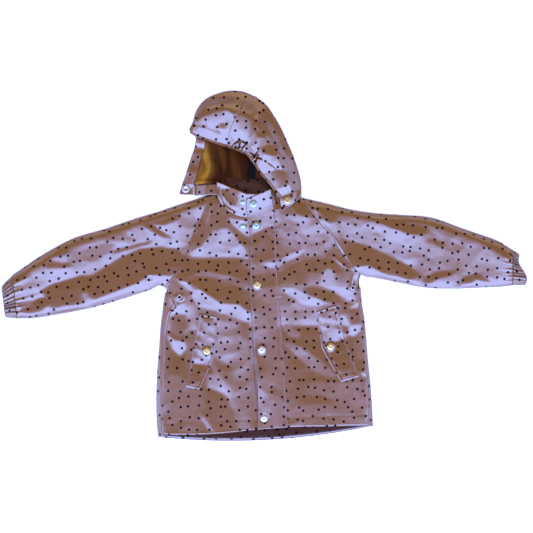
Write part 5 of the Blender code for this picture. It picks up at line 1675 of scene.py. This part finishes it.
# A darker, duller copy of the cloth, which paints shade on the back collar and the back's hem.
MATERIALS["painted_shade_cloth"] = dotted_cloth("dotted cloth in painted shade", PAINTED_SHADE_ROSE, PAINTED_SHADE_WORN_ROSE, 0.15)

# %% [markdown]
# ## Lining, tape and thread
# The lining is plain cotton. Long soft darker streaks paint the shade of its folds. It lies in shade inside
# the hood, and the studio's lamps don't shade it enough, so painted shade darkens it beyond a strip along the
# opening. The tab is coarse black tape, and the thread is a little lighter than the cloth.

# %% Lining, tape and thread
lining, tree, shader = shader_material("cotton lining", MUSTARD, 0.8, Specular_IOR_Level=0.0)
creases = placed(tree, handling, Per_Metre=60)
threads = placed(tree, weave, Threads_Per_Metre=1100)
where = add(tree, "ShaderNodeUVMap", uv_map="print")
apart = add(tree, "ShaderNodeSeparateXYZ")
tree.links.new(where.outputs["UV"], apart.inputs[0])
# Painted shade inside the hood: the lining darkens beyond a strip along its open edge.
depth = add(tree, "ShaderNodeMapRange", interpolation_type="SMOOTHSTEP",
            values={"From Min": -0.076, "From Max": -0.052})
tree.links.new(apart.outputs["X"], depth.inputs["Value"])
# Painted fold shade: long soft darker streaks along the lining.
along = add(tree, "ShaderNodeMapping", values={"Scale": (48.0, 8.0, 1.0), "Rotation": (0, 0, 0.12)})
painted_fold_streaks = add(tree, "ShaderNodeTexNoise", noise_dimensions="2D", values={"Scale": 1.0, "Detail": 1.5})
shaded = add(tree, "ShaderNodeMapRange", interpolation_type="SMOOTHSTEP",
             values={"From Min": 0.36, "From Max": 0.6})
tree.links.new(where.outputs["UV"], along.inputs["Vector"])
tree.links.new(along.outputs["Vector"], painted_fold_streaks.inputs["Vector"])
tree.links.new(painted_fold_streaks.outputs["Fac"], shaded.inputs["Value"])
outer = color_mix(tree, MUSTARD, MUSTARD_FOLD_SHADE, shaded.outputs["Result"])
inner = color_mix(tree, MUSTARD_HOOD_SHADE, MUSTARD_HOOD_AND_FOLD_SHADE, shaded.outputs["Result"])
tree.links.new(color_mix(tree, outer, inner, depth.outputs["Result"]), shader.inputs["Base Color"])
bumped(tree, shader, (creases.outputs["Height"], 0.8, 0.4), (threads.outputs["Height"], 0.08, 0.5))
MATERIALS["lining_cloth"] = lining

tape, tree, shader = shader_material("woven black tape", (0.006, 0.005, 0.004), 0.85, Specular_IOR_Level=0.0)
threads = placed(tree, weave, Threads_Per_Metre=700)
tree.links.new(color_mix(tree, (0.003, 0.003, 0.003), (0.010, 0.009, 0.007), threads.outputs["Height"]),
               shader.inputs["Base Color"])
bumped(tree, shader, (threads.outputs["Height"], 0.2, 0.6))
MATERIALS["tab_cloth"] = tape

thread, tree, shader = shader_material("sewing thread", (0.2, 0.12, 0.12), 0.6, Specular_IOR_Level=0.1)
twist = add(tree, "ShaderNodeTexNoise", values={"Scale": 900.0})
tree.links.new(color_mix(tree, (0.12, 0.07, 0.06), (0.3, 0.2, 0.22), twist.outputs["Fac"]),
               shader.inputs["Base Color"])
MATERIALS["thread"] = thread

# %% [markdown]
# ## The metals
# The snaps are plated: some silver, some a pale gold, and the top ones have a faint green and violet tint.
# Plating is never quite even, so soft noise varies the roughness, and a finer noise gives light scratches.

# %% Metal materials
METALS = [
    ("snap_steel", "plated steel", (0.42, 0.40, 0.37), (0.26, 0.24, 0.22)),
    ("snap_gold", "pale gold plating", (0.45, 0.36, 0.16), (0.26, 0.19, 0.08)),
    ("snap_pearl", "tinted plating", (0.16, 0.46, 0.36), (0.30, 0.26, 0.36)),
]
for slot, name, bright, dull in METALS:
    metal, tree, shader = shader_material(name, bright, 0.25, Metallic=1.0)
    soft = add(tree, "ShaderNodeTexNoise", values={"Scale": 260.0, "Detail": 2.0})
    fine = add(tree, "ShaderNodeTexNoise", values={"Scale": 2400.0, "Detail": 3.0})
    tree.links.new(color_mix(tree, bright, dull, soft.outputs["Fac"]), shader.inputs["Base Color"])
    rough = add(tree, "ShaderNodeMapRange", values={"To Min": 0.16, "To Max": 0.4})
    tree.links.new(soft.outputs["Fac"], rough.inputs["Value"])
    tree.links.new(rough.outputs["Result"], shader.inputs["Roughness"])
    bumped(tree, shader, (fine.outputs["Fac"], 0.04, 0.3))
    MATERIALS[slot] = metal

for made, finish in made_pieces:
    made.data.materials.clear()
    made.data.materials.append(MATERIALS[finish])
print("materials:", sorted(MATERIALS))

# %% [markdown]
# ## What each piece was cut to
# Every piece of cloth has a row with the size of its flat cut. A sleeve or cuff is measured all round. Few
# pattern pieces are rectangles, so each row also says which share of its rectangle is filled. No pattern of
# the coat was at hand, so the sizes were taken from the cloth made above.

# %% Flat cuts
Cut = namedtuple("Cut", "wide long filled held rests")
CUTS = {
    "front_r": Cut(0.19, 0.44, 0.82, "laid", ["back"]),
    "front_l": Cut(0.17, 0.42, 0.88, "laid", ["back"]),
    "placket": Cut(0.052, 0.445, 0.93, "laid", ["front_r", "front_l"]),
    "collar_r": Cut(0.07, 0.055, 0.86, "folded", ["front_r"]),
    "collar_l": Cut(0.045, 0.055, 0.93, "folded", ["front_l"]),
    "collar_back": Cut(0.10, 0.035, 0.97, "folded", ["hood_far"]),
    "back": Cut(0.42, 0.44, 0.82, "laid", []),
    "back_hem": Cut(0.39, 0.025, 0.94, "folded", ["back"]),
    "sleeve_r": Cut(0.34, 0.37, 0.67, "laid", []),
    "sleeve_l": Cut(0.31, 0.38, 0.64, "laid", []),
    "cuff_r": Cut(0.165, 0.022, 0.94, "gathered", []),
    "cuff_l": Cut(0.14, 0.020, 0.93, "gathered", []),
    "hood_peak": Cut(0.12, 0.10, 0.71, "folded", ["hood_far"]),
    "hood_side": Cut(0.20, 0.13, 0.60, "gathered", ["hood_lining"]),
    "hood_band_l": Cut(0.045, 0.025, 0.80, "laid", ["front_l"]),
    "hood_far": Cut(0.20, 0.16, 0.75, "laid", []),
    "hood_facing": Cut(0.025, 0.105, 0.76, "laid", ["hood_far"]),
    "hood_lining": Cut(0.175, 0.12, 0.79, "laid", ["hood_far"]),
    "hood_band_r": Cut(0.043, 0.019, 0.98, "laid", ["hood_far"]),
    "hood_tab": Cut(0.017, 0.037, 0.80, "hung", ["hood_lining"]),
    "flap_r": Cut(0.04, 0.14, 0.90, "laid", ["front_r"]),
    "flap_l": Cut(0.044, 0.14, 0.94, "laid", ["front_l"]),
}
for name, made in SHEETS.items():
    cut = CUTS[name]
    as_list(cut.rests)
print("sheets declared:", len(SHEETS))

# %% [markdown]
# ## Floor, light and camera
# The coat lies on a pale floor and is seen from straight above. One long cool panel hangs over the hem side,
# and its edge ends just above the coat, so cloth that tips towards the hem mirrors it and cloth that tips the
# other way does not. Two dimmer strips soften that edge. A cool wall behind the panel and one on either side
# give the steep folds something to mirror, and a dim rosy wall on the far side keeps the brown planes from
# going black.

# %% Studio
plane = bpy.data.meshes.new("floor")
plane.from_pydata([(-6, -6, 0), (6, -6, 0), (6, 6, 0), (-6, 6, 0)], [], [(0, 1, 2, 3)])
floor = bpy.data.objects.new("floor", plane)
bpy.context.scene.collection.objects.link(floor)
floor.location.z = -0.0004
floor_paper, tree, shader = shader_material("pale floor", (0.72, 0.72, 0.72), 0.9)
floor.data.materials.append(floor_paper)


def panel(name, centre, size, color, radiance, aim=(0, 0, 0)):
    """A rectangular light of a given radiance, which looks towards aim and isn't seen by the camera."""
    data = bpy.data.lights.new(name, "AREA")
    data.shape = "RECTANGLE"
    data.size, data.size_y = size
    data.color = color
    data.energy = radiance * size[0] * size[1] * math.pi
    lamp = bpy.data.objects.new(name, data)
    bpy.context.scene.collection.objects.link(lamp)
    lamp.location = centre
    direction = Vector(aim) - Vector(centre)
    lamp.rotation_euler = direction.to_track_quat("-Z", "Y").to_euler()
    lamp.visible_camera = False
    return lamp


panel("cool_panel", (0, -3.95, 6.0), (11.0, 5.3), (0.32, 0.47, 1.0), 12.5, aim=(0, -3.95, 0))
panel("cool_edge", (0, -1.1, 6.0), (11.0, 0.4), (0.40, 0.47, 1.0), 5.0, aim=(0, -1.1, 0))
panel("cool_fade", (0, -0.3, 6.0), (11.0, 1.2), (0.42, 0.42, 1.0), 1.45, aim=(0, -0.3, 0))
panel("cool_wall", (0, -6.6, 3.6), (12.0, 4.7), (0.32, 0.47, 1.0), 7.0, aim=(0, 0, 3.6))
panel("cool_left", (-8.0, -2.5, 4.4), (7.0, 9.0), (0.36, 0.47, 1.0), 5.5, aim=(0, -2.5, 4.4))
panel("cool_right", (8.0, -0.5, 4.9), (8.0, 13.0), (0.36, 0.47, 1.0), 4.0, aim=(0, -0.5, 4.9))
panel("warm_wall", (0, 7.0, 3.2), (14.0, 4.0), (1.0, 0.74, 0.62), 1.7)

world = bpy.data.worlds.new("studio")
world.use_nodes = True
world.node_tree.nodes["Background"].inputs["Color"].default_value = (1.0, 0.72, 0.45, 1)
world.node_tree.nodes["Background"].inputs["Strength"].default_value = 0.6
bpy.context.scene.world = world
bpy.context.scene.view_settings.view_transform = "Standard"

camera_data = bpy.data.cameras.new("camera")
camera_data.sensor_width = 36
camera_data.lens = 112.2
camera = bpy.data.objects.new("camera", camera_data)
bpy.context.scene.collection.objects.link(camera)
camera.location = (0.0045, -0.0018, 3.0)
bpy.context.scene.camera = camera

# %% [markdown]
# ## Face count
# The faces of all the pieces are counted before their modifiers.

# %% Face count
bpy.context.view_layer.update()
faces = sum(len(made.data.polygons) for made, _ in made_pieces)
print("pieces:", len(made_pieces), "faces before their modifiers:", faces)
